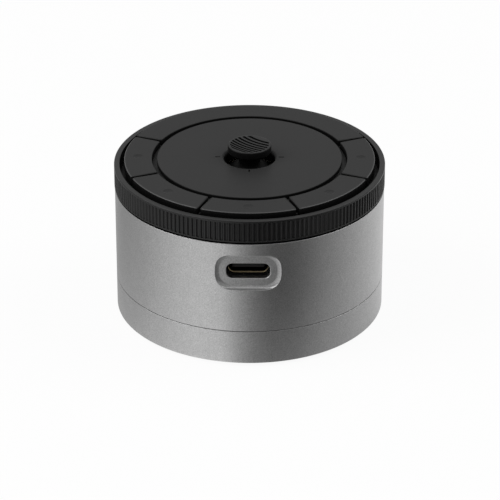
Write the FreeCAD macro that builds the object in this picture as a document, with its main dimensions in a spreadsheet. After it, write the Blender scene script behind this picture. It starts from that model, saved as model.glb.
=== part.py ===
import FreeCAD, Part
import math
import os
import re
import Sketcher

# A round desk dial: an aluminium drum on a rubber foot, a knurled ring that turns on top of it, five
# keys and a plain arc inside the ring, and a small joystick in the middle.
#
# The frame has its origin on the desk, under the centre of the drum. +Z is up and the port faces -Y.
# Lengths are in millimetres and angles in degrees.

# ---------------------------------------------------------------------------------------------
# Driving sizes. Each one is a cell of the sheet, under this name.
# ---------------------------------------------------------------------------------------------

SIZES = {
    # The outside
    "ring_diameter": 58.0,
    "body_inset": 0.075,
    "foot_proud": 0.5,
    "base_height": 7.7,
    "shell_height": 20.7,
    "ring_gap": 0.3,
    "ring_height": 4.9,
    "deck_rise": 0.9,
    # The drum: base cup and body shell
    "body_wall": 2.5,
    "floor_thickness": 2.0,
    "pad_recess": 0.5,
    "edge_chamfer": 0.45,
    "seam_chamfer": 0.12,
    "spigot_wall": 1.2,
    "spigot_height": 1.5,
    "fit_clearance": 0.05,
    "flange_thickness": 1.5,
    "flange_land": 1.4,
    # Foot pad and ballast
    "pad_margin": 2.925,
    "pad_clearance": 0.3,
    "ballast_clearance": 1.425,
    "ballast_bore": 12.0,
    "ballast_thickness": 3.5,
    # Screws, and the columns and bosses that take them
    "screw_diameter": 2.0,
    "screw_head": 3.8,
    "screw_head_height": 1.0,
    "screw_key": 1.5,
    "base_bite": 6.0,
    "board_bite": 4.0,
    "deck_screw_setback": 0.35,
    "pilot_margin": 0.5,
    "head_clearance": 0.2,
    "column_diameter": 5.2,
    "column_inset": 0.525,
    "column_clearance": 0.5,
    "boss_diameter": 4.4,
    "boss_inset": 3.725,
    # The port in the drum's front
    "port_drop": 6.8,
    "port_width": 9.1,
    "port_opening": 3.4,
    "pocket_depth": 1.05,
    "pocket_floor_width": 11.9,
    "pocket_floor_height": 6.5,
    "pocket_floor_straight": 0.7,
    "pocket_mouth_width": 20.4,
    "pocket_mouth_height": 8.0,
    "pocket_mouth_straight": 0.6,
    # The receptacle behind it
    "receptacle_setback": 1.5,
    "receptacle_side_gap": 0.08,
    "receptacle_top_gap": 0.07,
    "receptacle_wall": 0.3,
    "receptacle_depth": 7.3,
    "insulator_depth": 1.5,
    "tongue_width": 6.69,
    "tongue_thickness": 0.7,
    "tongue_setback": 0.95,
    "contact_count": 12,
    "contact_pitch": 0.5,
    "contact_width": 0.25,
    "contact_thickness": 0.08,
    "contact_length": 4.0,
    "contact_setback": 0.5,
    # The main board and what stands on it
    "board_thickness": 1.0,
    "board_clearance": 0.8,
    "chip_side": 7.0,
    "chip_height": 0.9,
    "chip_gap": 2.0,
    "passive_length": 1.6,
    "passive_width": 0.8,
    "passive_height": 0.7,
    "passive_pitch": 2.2,
    "passive_count": 4,
    "connector_width": 10.0,
    "connector_depth": 3.0,
    "connector_height": 2.0,
    "connector_gap": 0.9,
    "ribbon_width": 8.0,
    "ribbon_thickness": 0.2,
    "ribbon_bulge": 1.5,
    # The dial: knurled ring, carrier and pole ring
    "land_width": 1.2,
    "ring_edge": 0.2,
    "ledge_width": 1.2,
    "knurl_count": 180,
    "knurl_depth": 0.22,
    "knurl_width": 0.72,
    "knurl_floor": 0.5,
    "knurl_rim": 0.35,
    "glide_width": 2.0,
    "glide_clearance": 0.5,
    "glide_land": 0.05,
    "carrier_thickness": 1.1,
    "running_gap": 0.1,
    "pole_width": 1.6,
    "pole_height": 0.8,
    "pole_inset": 0.55,
    # The deck frame and the deck board
    "hub_wall": 2.8,
    "plate_thickness": 0.7,
    "plate_reach": 2.9,
    "plate_setback": 0.2,
    "deck_board_thickness": 0.6,
    "deck_board_setback": 0.5,
    "dome_clearance": 1.1,
    "deck_screw_angle": 22.5,
    "sensor_width": 3.0,
    "sensor_length": 2.9,
    "sensor_height": 0.5,
    "sensor_clearance": 0.3,
    # The keys and the rear cover
    "deck_gap": 1.0,
    "key_width": 5.95,
    "key_pitch": 45.0,
    "key_gap": 0.65,
    "key_plate": 1.0,
    "key_wall": 0.9,
    "key_corner": 0.6,
    "key_edge": 0.2,
    "key_travel": 0.35,
    "key_margin": 0.15,
    "key_post": 2.2,
    "pin_angle": 13.0,
    "pin_diameter": 1.2,
    "pin_margin": 0.1,
    "lip_width": 0.9,
    "lip_thickness": 0.5,
    "lip_play": 0.15,
    "lip_margin": 2.0,
    "dimple_diameter": 2.2,
    "dimple_depth": 0.25,
    "switch_side": 3.4,
    "switch_height": 0.5,
    "plunger_diameter": 1.5,
    "plunger_margin": 0.05,
    # The retainer and the centre disc
    "groove_width": 1.05,
    "groove_depth": 0.8,
    "retainer_thickness": 0.8,
    "retainer_wall": 2.75,
    "rim_thickness": 0.6,
    "rib_width": 0.36,
    "rib_end": 0.3,
    "well_diameter": 10.7,
    "well_edge": 0.75,
    "collar_wall": 0.9,
    "collar_drop": 1.6,
    "tick_gap": 0.875,
    "tick_length": 1.15,
    "tick_width": 0.3,
    "tick_depth": 0.2,
    # The stick and its module
    "module_side": 15.0,
    "module_wall": 0.8,
    "module_base": 0.8,
    "module_rise": 1.9,
    "yoke_diameter": 10.4,
    "yoke_bore": 8.0,
    "yoke_height": 2.4,
    "pivot_pin": 1.4,
    "pivot_pin_clearance": 0.05,
    "pivot_pin_bite": 0.6,
    "yoke_edge": 0.3,
    "carrier_diameter": 6.6,
    "carrier_above": 1.4,
    "carrier_below": 2.8,
    "shaft_diameter": 3.0,
    "shaft_clearance": 0.05,
    "shaft_drop": 5.0,
    "clip_diameter": 4.4,
    "clip_height": 0.6,
    "clip_gap": 0.2,
    "clip_bite": 0.3,
    "press_side": 4.0,
    "press_height": 1.05,
    "snap_diameter": 3.0,
    "snap_rise": 0.63,
    "snap_clearance": 0.05,
    "snap_thickness": 0.15,
    "spring_wire": 0.4,
    "spring_clearance": 0.17,
    "spring_turns": 4.5,
    "dome_reach": 1.05,
    "dome_wall": 0.6,
    "dome_edge": 3.6,
    "cap_diameter": 9.3,
    "cap_rim": 2.0,
    "cap_edge": 0.2,
    "cap_chamfer": 0.5,
    "neck_diameter": 4.6,
    "neck_length": 2.03,
    "shaft_bite": 0.6,
    "cap_border": 0.5,
    "ripple_center_x": 3.3,
    "ripple_center_y": 6.2,
    "ripple_radius": 4.7,
    "ripple_pitch": 0.85,
    "ripple_count": 8,
    "ripple_width": 0.36,
    "ripple_depth": 0.25,
}

# Turns about the axis, from the port: five keys face the port side, and a plain arc fills the rest.
KEY_TURNS = {"left": -2, "front_left": -1, "front": 0, "front_right": 1, "right": 2}
COLUMN_TURNS = (45, 135, 225, 315)
BOSS_TURNS = (0, 90, 180)
PORT_TURN = -90

# ---------------------------------------------------------------------------------------------
# Levels and radii worked out from the driving sizes
# ---------------------------------------------------------------------------------------------

PAD_TOP = "(foot_proud + pad_recess)"
FLOOR_TOP = f"({PAD_TOP} + floor_thickness)"
SEAM = "(foot_proud + base_height)"
SHELL_TOP = f"({SEAM} + shell_height)"
FLANGE_BOTTOM = f"({SHELL_TOP} - flange_thickness)"
RING_BOTTOM = f"({SHELL_TOP} + ring_gap)"
RING_TOP = f"({RING_BOTTOM} + ring_height)"
DECK_TOP = f"({RING_TOP} + deck_rise)"

# The drum and the ring, from the outside in
RING_RADIUS = "(ring_diameter / 2)"
RING_BORE = f"({RING_RADIUS} - land_width)"
LEDGE_BORE = f"({RING_BORE} - ledge_width)"
BODY_RADIUS = f"({RING_RADIUS} - body_inset)"
BODY_BORE = f"({BODY_RADIUS} - body_wall)"
SPIGOT_RADIUS = f"({BODY_BORE} + spigot_wall)"
PAD_RADIUS = f"({BODY_RADIUS} - pad_margin)"
COLUMN_PLACE = f"({BODY_BORE} - column_inset - column_diameter / 2)"
BOSS_PLACE = f"({BODY_BORE} - boss_inset - boss_diameter / 2)"

# The dial's carrier and the hub that it turns on
GLIDE_OUTER = f"({LEDGE_BORE} - glide_clearance)"
GLIDE_INNER = f"({GLIDE_OUTER} - glide_width)"
POLE_OUTER = f"({GLIDE_INNER} - running_gap - fit_clearance)"
POLE_INNER = f"({POLE_OUTER} - pole_width)"
CARRIER_BORE = f"({POLE_INNER} - pole_inset)"
HUB_RADIUS = f"({CARRIER_BORE} - running_gap)"
HUB_BORE = f"({HUB_RADIUS} - hub_wall)"

# The deck in plan
KEY_OUTER = f"({RING_BORE} - deck_gap)"
KEY_INNER = f"({KEY_OUTER} - key_width)"
KEY_CENTER = f"({KEY_OUTER} - key_width / 2)"
DISC_RADIUS = f"({KEY_INNER} - groove_width)"
WELL_RADIUS = "(well_diameter / 2)"

# The deck, from the top down
GROOVE_FLOOR = f"({DECK_TOP} - groove_depth)"
RIM_BOTTOM = f"({GROOVE_FLOOR} - rim_thickness)"
KEY_BOTTOM = f"({RIM_BOTTOM} - lip_play - lip_thickness)"
KEY_CEILING = f"({DECK_TOP} - key_plate)"
DECK_BOARD_TOP = f"({KEY_BOTTOM} - key_travel - key_margin)"
PLATE_TOP = f"({DECK_BOARD_TOP} - deck_board_thickness)"
PLATE_BOTTOM = f"({PLATE_TOP} - plate_thickness)"
CARRIER_TOP = f"({PLATE_BOTTOM} - running_gap)"
CARRIER_BOTTOM = f"({CARRIER_TOP} - carrier_thickness)"
GLIDE_TOP = f"({CARRIER_BOTTOM} - glide_land)"
SWITCH_TOP = f"({DECK_BOARD_TOP} + switch_height)"
PLUNGER_BOTTOM = f"({DECK_BOARD_TOP} + key_travel + plunger_margin)"
PLUNGER_TOP = f"({SWITCH_TOP} + key_travel + plunger_margin)"
PIN_FOOT = f"({PLATE_BOTTOM} + key_travel + pin_margin)"

# The port and the main board
PORT_HEIGHT = f"({SHELL_TOP} - port_drop)"
PORT_MOUTH = f"({BODY_RADIUS} - pocket_depth - receptacle_setback)"
RECEPTACLE_BACK = f"({PORT_MOUTH} - receptacle_depth)"
RECEPTACLE_WIDTH = "(port_width - 2 * receptacle_side_gap)"
RECEPTACLE_HEIGHT = "(port_opening - 2 * receptacle_top_gap)"
BOARD_TOP = f"({PORT_HEIGHT} - {RECEPTACLE_HEIGHT} / 2)"
BOARD_BOTTOM = f"({BOARD_TOP} - board_thickness)"
CHIP_PLACE = "(module_side / 2 + chip_gap + chip_side / 2)"
CONNECTOR_PLACE = "(module_side / 2 + connector_gap + connector_depth / 2)"

# The stick and its module, from the main board up
MODULE_BASE_TOP = f"({BOARD_TOP} + module_base)"
PRESS_TOP = f"({MODULE_BASE_TOP} + press_height)"
SNAP_TOP = f"({PRESS_TOP} + snap_rise)"
SHAFT_END = f"({SNAP_TOP} + snap_clearance)"
PIVOT = f"({SHAFT_END} + shaft_drop)"
MODULE_TOP = f"({PIVOT} + module_rise)"
BLOCK_FOOT = f"({PIVOT} - carrier_below)"
CLIP_BOTTOM = f"({BLOCK_FOOT} - clip_gap - clip_height)"
DOME_RADIUS = f"({WELL_RADIUS} + dome_reach)"
DOME_FLAT = f"sqrt({DOME_RADIUS} ^ 2 - (neck_diameter / 2) ^ 2)"
DOME_TOP = f"({PIVOT} + {DOME_FLAT})"
CAP_BOTTOM = f"({DOME_TOP} + neck_length)"
CAP_TOP = f"({CAP_BOTTOM} + cap_rim)"
SHAFT_TOP = f"({CAP_BOTTOM} + shaft_bite)"

# ---------------------------------------------------------------------------------------------
# The document, its sheet and the helpers that draw with it
# ---------------------------------------------------------------------------------------------

doc = FreeCAD.newDocument("DeskDial")
sheet = doc.addObject("Spreadsheet::Sheet", "Sizes")
for row, (alias, size) in enumerate(SIZES.items(), start=1):
    sheet.set(f"A{row}", alias.replace("_", " "))
    sheet.set(f"B{row}", str(size))
    sheet.setAlias(f"B{row}", alias)
doc.recompute()

NODES = []


def words(formula):
    """A formula written with the names of the sizes, as an expression that reads the sheet."""
    return re.sub(r"[a-z][a-z_]+", lambda word: ("Sizes." * (word.group() in SIZES)) + word.group(),
                  formula)


def bind(item, path, formula):
    """Tie a property or a constraint of an object to a formula."""
    item.setExpression(path, words(formula))


def value(formula):
    """The number that a formula gives now."""
    return float(sheet.evalExpression(words(formula)))


def node(item, label):
    """Keep a finished object as a sub-part under its own name."""
    item.Label = label
    NODES.append(item)
    return item


def turn_about_axis(item, turn):
    """Turn an object about the upright axis through its own place."""
    item.Placement = FreeCAD.Placement(item.Placement.Base, FreeCAD.Rotation(FreeCAD.Vector(0, 0, 1), 1))
    bind(item, "Placement.Rotation.Angle", f"({turn}) * 1 deg")


def polar(radius, turn):
    """The X and Y formulas of a place at a radius and a turn about the axis."""
    return f"{radius} * cos({turn})", f"{radius} * sin({turn})"


def new_body(name):
    """An empty body."""
    return doc.addObject("PartDesign::Body", name + "_body")


def new_sketch(body, name, plane, level="0"):
    """A sketch on one of the body's own origin planes, at a distance along its normal."""
    sketch = body.newObject("Sketcher::SketchObject", name)
    support = next(item for item in body.Origin.OriginFeatures if item.Role == plane)
    sketch.AttachmentSupport = [(support, "")]
    sketch.MapMode = "FlatFace"
    bind(sketch, "AttachmentOffset.Base.z", level)
    return sketch


def place_point(sketch, geometry, point, x, y):
    """Hold one point of a sketch at two formulas, measured from the sketch's origin."""
    for kind, formula in (("DistanceX", x), ("DistanceY", y)):
        index = sketch.addConstraint(Sketcher.Constraint(kind, -1, 1, geometry, point, value(formula)))
        bind(sketch, f"Constraints[{index}]", formula)


def set_radius(sketch, geometry, formula):
    """Hold the radius of a circle or an arc of a sketch."""
    index = sketch.addConstraint(Sketcher.Constraint("Radius", geometry, value(formula)))
    bind(sketch, f"Constraints[{index}]", formula)


def draw_polygon(sketch, corners):
    """A closed outline of straight lines through corners given as pairs of formulas."""
    places = [FreeCAD.Vector(value(x), value(y), 0) for x, y in corners]
    first = sketch.GeometryCount
    for start, end in zip(places, places[1:] + places[:1]):
        sketch.addGeometry(Part.LineSegment(start, end), False)
    count = len(corners)
    for index in range(count):
        after = first + (index + 1) % count
        sketch.addConstraint(Sketcher.Constraint("Coincident", first + index, 2, after, 1))
    for index, (x, y) in enumerate(corners):
        place_point(sketch, first + index, 1, x, y)


def draw_profile(sketch, corners, arcs, center):
    """A closed outline through corners, with an arc about one center in place of each side that
    arcs names; the number is that of the side's first corner."""
    middle = FreeCAD.Vector(value(center[0]), value(center[1]), 0)
    places = [FreeCAD.Vector(value(x), value(y), 0) for x, y in corners]
    sides = []
    for index, start in enumerate(places):
        end = places[(index + 1) % len(places)]
        if index not in arcs:
            sides.append((sketch.addGeometry(Part.LineSegment(start, end), False), 1, 2))
            continue
        turns = sorted([(math.atan2(start.y - middle.y, start.x - middle.x), 1),
                        (math.atan2(end.y - middle.y, end.x - middle.x), 2)])
        circle = Part.Circle(middle, FreeCAD.Vector(0, 0, 1), value(arcs[index]))
        arc = Part.ArcOfCircle(circle, turns[0][0], turns[1][0])
        runs_on = turns[0][1] == 1
        sides.append((sketch.addGeometry(arc, False), 1 if runs_on else 2, 2 if runs_on else 1))
    for index, (geometry, _, end) in enumerate(sides):
        after, start, _ = sides[(index + 1) % len(sides)]
        sketch.addConstraint(Sketcher.Constraint("Coincident", geometry, end, after, start))
    for index, (x, y) in enumerate(corners):
        place_point(sketch, sides[index][0], sides[index][1], x, y)
    for index in arcs:
        set_radius(sketch, sides[index][0], arcs[index])


def draw_rectangle(sketch, x, y, width, height):
    """A rectangle round a centre."""
    left, right = f"{x} - ({width}) / 2", f"{x} + ({width}) / 2"
    low, high = f"{y} - ({height}) / 2", f"{y} + ({height}) / 2"
    draw_polygon(sketch, [(left, low), (right, low), (right, high), (left, high)])


def draw_circle(sketch, x, y, radius):
    """A circle round a centre."""
    center = FreeCAD.Vector(value(x), value(y), 0)
    geometry = sketch.addGeometry(Part.Circle(center, FreeCAD.Vector(0, 0, 1), value(radius)), False)
    place_point(sketch, geometry, 3, x, y)
    set_radius(sketch, geometry, radius)


def draw_ring(sketch, outer, inner):
    """Two circles round the axis."""
    draw_circle(sketch, "0", "0", outer)
    draw_circle(sketch, "0", "0", inner)


def draw_rounded(sketch, width, height, straight):
    """A rectangle with round corners about the port's centre; each of its short sides keeps a
    straight part."""
    corner = f"(({height} - {straight}) / 2)"
    half, rise, round_by = value(width) / 2, value(height) / 2, value(corner)
    center_y = value(PORT_HEIGHT)
    quarters = [(1, -1, -90), (1, 1, 0), (-1, 1, 90), (-1, -1, 180)]
    arcs = []
    for side, up, start in quarters:
        middle_point = FreeCAD.Vector(side * (half - round_by), center_y + up * (rise - round_by), 0)
        circle = Part.Circle(middle_point, FreeCAD.Vector(0, 0, 1), round_by)
        arc = Part.ArcOfCircle(circle, math.radians(start), math.radians(start + 90))
        arcs.append((sketch.addGeometry(arc, False), side, up, arc))
    for index, (geometry, side, up, arc) in enumerate(arcs):
        after_geometry, _, _, after = arcs[(index + 1) % 4]
        line = sketch.addGeometry(Part.LineSegment(arc.EndPoint, after.StartPoint), False)
        sketch.addConstraint(Sketcher.Constraint("Tangent", geometry, 2, line, 1))
        sketch.addConstraint(Sketcher.Constraint("Tangent", line, 2, after_geometry, 1))
        place_point(sketch, geometry, 3, f"{side} * ({width} / 2 - {corner})",
                    f"{PORT_HEIGHT} + {up} * ({height} / 2 - {corner})")
        set_radius(sketch, geometry, corner)


def draw_slot(sketch, width, height):
    """A slot with half-round ends about the port's centre."""
    reach, round_by = value(f"(({width}) - ({height})) / 2"), value(height) / 2
    center_y = value(PORT_HEIGHT)
    ends = []
    for side, start in ((1, -90), (-1, 90)):
        circle = Part.Circle(FreeCAD.Vector(side * reach, center_y, 0), FreeCAD.Vector(0, 0, 1), round_by)
        arc = Part.ArcOfCircle(circle, math.radians(start), math.radians(start + 180))
        ends.append((sketch.addGeometry(arc, False), side, arc))
    for index, (geometry, side, arc) in enumerate(ends):
        after_geometry, _, after = ends[1 - index]
        line = sketch.addGeometry(Part.LineSegment(arc.EndPoint, after.StartPoint), False)
        sketch.addConstraint(Sketcher.Constraint("Tangent", geometry, 2, line, 1))
        sketch.addConstraint(Sketcher.Constraint("Tangent", line, 2, after_geometry, 1))
        place_point(sketch, geometry, 3, f"{side} * (({width}) - ({height})) / 2", PORT_HEIGHT)
        set_radius(sketch, geometry, f"({height}) / 2")


def draw_sector(sketch, inner, outer, half_turn, side):
    """A piece of a ring about the axis, centred on X, whose straight sides run parallel to the
    dividing rays at half_turn and stay a distance clear of them."""
    corners = []
    for radius in (inner, outer):
        along = f"sqrt({radius} ^ 2 - ({side}) ^ 2)"
        x = f"{along} * cos({half_turn}) + ({side}) * sin({half_turn})"
        y = f"{along} * sin({half_turn}) - ({side}) * cos({half_turn})"
        corners.append((x, y, value(x), value(y), radius))
    (_, y_inner, ix, iy, _), (_, y_outer, ox, oy, _) = corners
    axis = FreeCAD.Vector(0, 0, 1)
    arcs = []
    for x, y, radius in ((ox, oy, outer), (ix, iy, inner)):
        turn = math.atan2(y, x)
        circle = Part.Circle(FreeCAD.Vector(), axis, value(radius))
        arcs.append(sketch.addGeometry(Part.ArcOfCircle(circle, -turn, turn), False))
    low = Part.LineSegment(FreeCAD.Vector(ix, -iy, 0), FreeCAD.Vector(ox, -oy, 0))
    high = Part.LineSegment(FreeCAD.Vector(ix, iy, 0), FreeCAD.Vector(ox, oy, 0))
    for line, end, sign in ((low, 1, "-"), (high, 2, "")):
        geometry = sketch.addGeometry(line, False)
        sketch.addConstraint(Sketcher.Constraint("Coincident", geometry, 1, arcs[1], end))
        sketch.addConstraint(Sketcher.Constraint("Coincident", geometry, 2, arcs[0], end))
        for point, formula in ((1, y_inner), (2, y_outer)):
            height = f"{sign}({formula})"
            index = sketch.addConstraint(
                Sketcher.Constraint("DistanceY", -1, 1, geometry, point, value(height)))
            bind(sketch, f"Constraints[{index}]", height)
    for geometry, radius in zip(arcs, (outer, inner)):
        sketch.addConstraint(Sketcher.Constraint("Coincident", geometry, 3, -1, 1))
        set_radius(sketch, geometry, radius)


def add_pad(body, name, sketch, length):
    """Material along the sketch's normal."""
    pad = body.newObject("PartDesign::Pad", name)
    pad.Profile = sketch
    bind(pad, "Length", length)
    return pad


def add_pocket(body, name, sketch, length, forward=False):
    """A cut against the sketch's normal, or along it when forward."""
    before = solid_volume(body)
    pocket = body.newObject("PartDesign::Pocket", name)
    pocket.Profile = sketch
    pocket.Reversed = forward
    bind(pocket, "Length", length)
    must_cut(body, pocket, before)
    return pocket


def add_turn(body, name, corners, plane="XZ_Plane"):
    """A body of revolution about the axis, from corners given as (radius, height)."""
    sketch = new_sketch(body, name + "_profile", plane)
    draw_polygon(sketch, corners)
    turn = body.newObject("PartDesign::Revolution", name)
    turn.Profile = sketch
    turn.ReferenceAxis = (sketch, ["V_Axis"])
    turn.Angle = 360
    return turn


def solid_volume(body):
    """The volume of a body as it stands."""
    doc.recompute()
    return body.Shape.Volume


def must_cut(body, feature, before):
    """Stop when a cut takes nothing away."""
    doc.recompute()
    if not feature.Shape.Volume < before:
        raise RuntimeError(f"{feature.Name} cuts nothing")


def add_fillet(body, name, base, radius, chosen):
    """Round the edges of a feature that a test chooses."""
    doc.recompute()
    names = [f"Edge{index}" for index, edge in enumerate(base.Shape.Edges, start=1) if chosen(edge)]
    fillet = body.newObject("PartDesign::Fillet", name)
    fillet.Base = (base, names)
    bind(fillet, "Radius", radius)
    return fillet


def lies_at(edge, level):
    """True for an edge that lies wholly at a height."""
    box = edge.BoundBox
    return abs(box.ZMin - level) < 1e-4 and abs(box.ZMax - level) < 1e-4


def stands_upright(edge):
    """True for a straight edge along Z."""
    box = edge.BoundBox
    return box.ZLength > 0.1 and box.XLength < 1e-6 and box.YLength < 1e-6


def solid_box(name, x, y, low, width, depth, height):
    """A box round a centre in plan, standing on a height."""
    box = doc.addObject("Part::Box", name)
    bind(box, "Length", width)
    bind(box, "Width", depth)
    bind(box, "Height", height)
    bind(box, "Placement.Base.x", f"{x} - {width} / 2")
    bind(box, "Placement.Base.y", f"{y} - {depth} / 2")
    bind(box, "Placement.Base.z", low)
    return box


def solid_cylinder(name, x, y, low, radius, height):
    """An upright cylinder, standing on a height."""
    cylinder = doc.addObject("Part::Cylinder", name)
    bind(cylinder, "Radius", radius)
    bind(cylinder, "Height", height)
    bind(cylinder, "Placement.Base.x", x)
    bind(cylinder, "Placement.Base.y", y)
    bind(cylinder, "Placement.Base.z", low)
    return cylinder


def cut_from(name, base, tool):
    """One solid less another."""
    cut = doc.addObject("Part::Cut", name)
    cut.Base = base
    cut.Tool = tool
    return cut


def fuse(name, *solids):
    """Several solids made one."""
    joined = doc.addObject("Part::MultiFuse", name)
    joined.Shapes = list(solids)
    return joined


def group(name, solids):
    """Separate solids kept together as one sub-part."""
    compound = doc.addObject("Part::Compound", name)
    compound.Links = solids
    return compound


def screws(label, place, turns, seat, length):
    """Screws driven upwards: the heads hang below the seat, and the shanks reach up from it."""
    made = []
    for turn in turns:
        x, y = polar(place, turn)
        stem = f"{label}_{len(made) + 1}"
        head = solid_cylinder(stem + "_head", x, y, f"{seat} - screw_head_height", "screw_head / 2",
                              "screw_head_height")
        shank = solid_cylinder(stem + "_shank", x, y, seat, "screw_diameter / 2",
                               length)
        socket = doc.addObject("Part::Prism", stem + "_socket")
        socket.Polygon = 6
        bind(socket, "Circumradius", "screw_key / sqrt(3)")
        bind(socket, "Height", "screw_head_height * 0.6")
        bind(socket, "Placement.Base.x", x)
        bind(socket, "Placement.Base.y", y)
        bind(socket, "Placement.Base.z", f"{seat} - screw_head_height")
        made.append(cut_from(stem, fuse(stem + "_blank", head, shank), socket))
    return node(group(label + "_group", made), label)


def hole_circle(sketch, place, turns, radius):
    """Circles set round the axis."""
    for turn in turns:
        x, y = polar(place, turn)
        draw_circle(sketch, x, y, radius)


# ---------------------------------------------------------------------------------------------
# The drum
# ---------------------------------------------------------------------------------------------

PILOT_RADIUS = "(screw_diameter / 2 + fit_clearance)"
DECK_SCREW_TURNS = [f"deck_screw_angle + {quarter}" for quarter in (0, 90, 180, 270)]
HUB_MIDDLE = f"({HUB_RADIUS} - hub_wall / 2)"


def base_cup():
    """The low cup that closes the drum: its spigot enters the shell and its floor takes the
    screws, whose heads are sunk under the foot pad."""
    body = new_body("base_cup")
    add_turn(body, "base_cup_turn", [
        ("0", PAD_TOP),
        (f"{PAD_RADIUS} + pad_clearance", PAD_TOP),
        (f"{PAD_RADIUS} + pad_clearance", "foot_proud"),
        (f"{BODY_RADIUS} - edge_chamfer", "foot_proud"),
        (BODY_RADIUS, "foot_proud + edge_chamfer"),
        (BODY_RADIUS, f"{SEAM} - seam_chamfer"),
        (f"{BODY_RADIUS} - seam_chamfer", SEAM),
        (SPIGOT_RADIUS, SEAM),
        (SPIGOT_RADIUS, f"{SEAM} + spigot_height"),
        (BODY_BORE, f"{SEAM} + spigot_height"),
        (BODY_BORE, FLOOR_TOP),
        ("0", FLOOR_TOP),
    ])
    sinks = new_sketch(body, "base_cup_sinks", "XY_Plane", PAD_TOP)
    hole_circle(sinks, COLUMN_PLACE, COLUMN_TURNS, "screw_head / 2 + head_clearance")
    add_pocket(body, "base_cup_sink_cut", sinks, "screw_head_height", forward=True)
    holes = new_sketch(body, "base_cup_holes", "XY_Plane", PAD_TOP)
    hole_circle(holes, COLUMN_PLACE, COLUMN_TURNS, PILOT_RADIUS)
    add_pocket(body, "base_cup_hole_cut", holes, "floor_thickness", forward=True)
    return node(body, "base_cup")


def foot_pad():
    """The rubber disc glued in the base's recess; it stands a little proud and carries the dial."""
    body = new_body("foot_pad")
    add_turn(body, "foot_pad_turn", [
        ("0", "0"),
        (f"{PAD_RADIUS} - foot_proud / 2", "0"),
        (PAD_RADIUS, "foot_proud / 2"),
        (PAD_RADIUS, PAD_TOP),
        ("0", PAD_TOP),
    ])
    return node(body, "foot_pad")


def ballast_weight():
    """The steel disc on the base's floor, notched round the shell's columns."""
    body = new_body("ballast_weight")
    outline = new_sketch(body, "ballast_outline", "XY_Plane", FLOOR_TOP)
    draw_ring(outline, f"{BODY_BORE} - ballast_clearance", "ballast_bore / 2")
    add_pad(body, "ballast_disc", outline, "ballast_thickness")
    notches = new_sketch(body, "ballast_notches", "XY_Plane", FLOOR_TOP)
    hole_circle(notches, COLUMN_PLACE, COLUMN_TURNS, "column_diameter / 2 + column_clearance")
    add_pocket(body, "ballast_notch_cut", notches, "ballast_thickness", forward=True)
    return node(body, "ballast_weight")


def body_shell():
    """The drum: a tube with a flange at its top, four long columns for the base screws, three
    bosses for the main board, and the port's pocket in the front wall."""
    body = new_body("body_shell")
    add_turn(body, "shell_turn", [
        (f"{SPIGOT_RADIUS} + fit_clearance", SEAM),
        (f"{BODY_RADIUS} - seam_chamfer", SEAM),
        (BODY_RADIUS, f"{SEAM} + seam_chamfer"),
        (BODY_RADIUS, f"{SHELL_TOP} - seam_chamfer"),
        (f"{BODY_RADIUS} - seam_chamfer", SHELL_TOP),
        (f"{HUB_BORE} - flange_land", SHELL_TOP),
        (f"{HUB_BORE} - flange_land", FLANGE_BOTTOM),
        (BODY_BORE, FLANGE_BOTTOM),
        (BODY_BORE, f"{SEAM} + spigot_height + fit_clearance"),
        (f"{SPIGOT_RADIUS} + fit_clearance", f"{SEAM} + spigot_height + fit_clearance"),
    ])
    columns = new_sketch(body, "shell_columns", "XY_Plane", FLOOR_TOP)
    hole_circle(columns, COLUMN_PLACE, COLUMN_TURNS, "column_diameter / 2")
    add_pad(body, "shell_column_pad", columns, f"{FLANGE_BOTTOM} - {FLOOR_TOP}")
    bosses = new_sketch(body, "shell_bosses", "XY_Plane", BOARD_TOP)
    hole_circle(bosses, BOSS_PLACE, BOSS_TURNS, "boss_diameter / 2")
    add_pad(body, "shell_boss_pad", bosses, f"{FLANGE_BOTTOM} - {BOARD_TOP}")
    column_pilots = new_sketch(body, "shell_column_pilots", "XY_Plane", FLOOR_TOP)
    hole_circle(column_pilots, COLUMN_PLACE, COLUMN_TURNS, PILOT_RADIUS)
    add_pocket(body, "shell_column_pilot_cut", column_pilots, "base_bite + pilot_margin", forward=True)
    boss_pilots = new_sketch(body, "shell_boss_pilots", "XY_Plane", BOARD_TOP)
    hole_circle(boss_pilots, BOSS_PLACE, BOSS_TURNS, PILOT_RADIUS)
    add_pocket(body, "shell_boss_pilot_cut", boss_pilots, "board_bite + pilot_margin", forward=True)
    deck_holes = new_sketch(body, "shell_deck_holes", "XY_Plane", FLANGE_BOTTOM)
    hole_circle(deck_holes, HUB_MIDDLE, DECK_SCREW_TURNS, PILOT_RADIUS)
    add_pocket(body, "shell_deck_hole_cut", deck_holes, "flange_thickness", forward=True)
    port_pocket(body)
    return node(body, "body_shell")


def port_pocket(body):
    """The dished pocket round the port, with a flat floor, and the slot through the wall."""
    floor = new_sketch(body, "pocket_floor", "XZ_Plane", f"{BODY_RADIUS} - pocket_depth")
    draw_rounded(floor, "pocket_floor_width", "pocket_floor_height", "pocket_floor_straight")
    mouth = new_sketch(body, "pocket_mouth", "XZ_Plane", BODY_RADIUS)
    draw_rounded(mouth, "pocket_mouth_width", "pocket_mouth_height", "pocket_mouth_straight")
    before = solid_volume(body)
    pocket = body.newObject("PartDesign::SubtractiveLoft", "pocket_loft")
    pocket.Profile = floor
    pocket.Sections = [mouth]
    must_cut(body, pocket, before)
    slot = new_sketch(body, "port_slot", "XZ_Plane", BODY_RADIUS)
    draw_slot(slot, "port_width", "port_opening")
    add_pocket(body, "port_slot_cut", slot, "2 * body_wall")


# ---------------------------------------------------------------------------------------------
# The port's receptacle
# ---------------------------------------------------------------------------------------------

INNER_WIDTH = f"({RECEPTACLE_WIDTH} - 2 * receptacle_wall)"
INNER_HEIGHT = f"({RECEPTACLE_HEIGHT} - 2 * receptacle_wall)"
TONGUE_FRONT = f"({PORT_MOUTH} - tongue_setback)"


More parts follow.
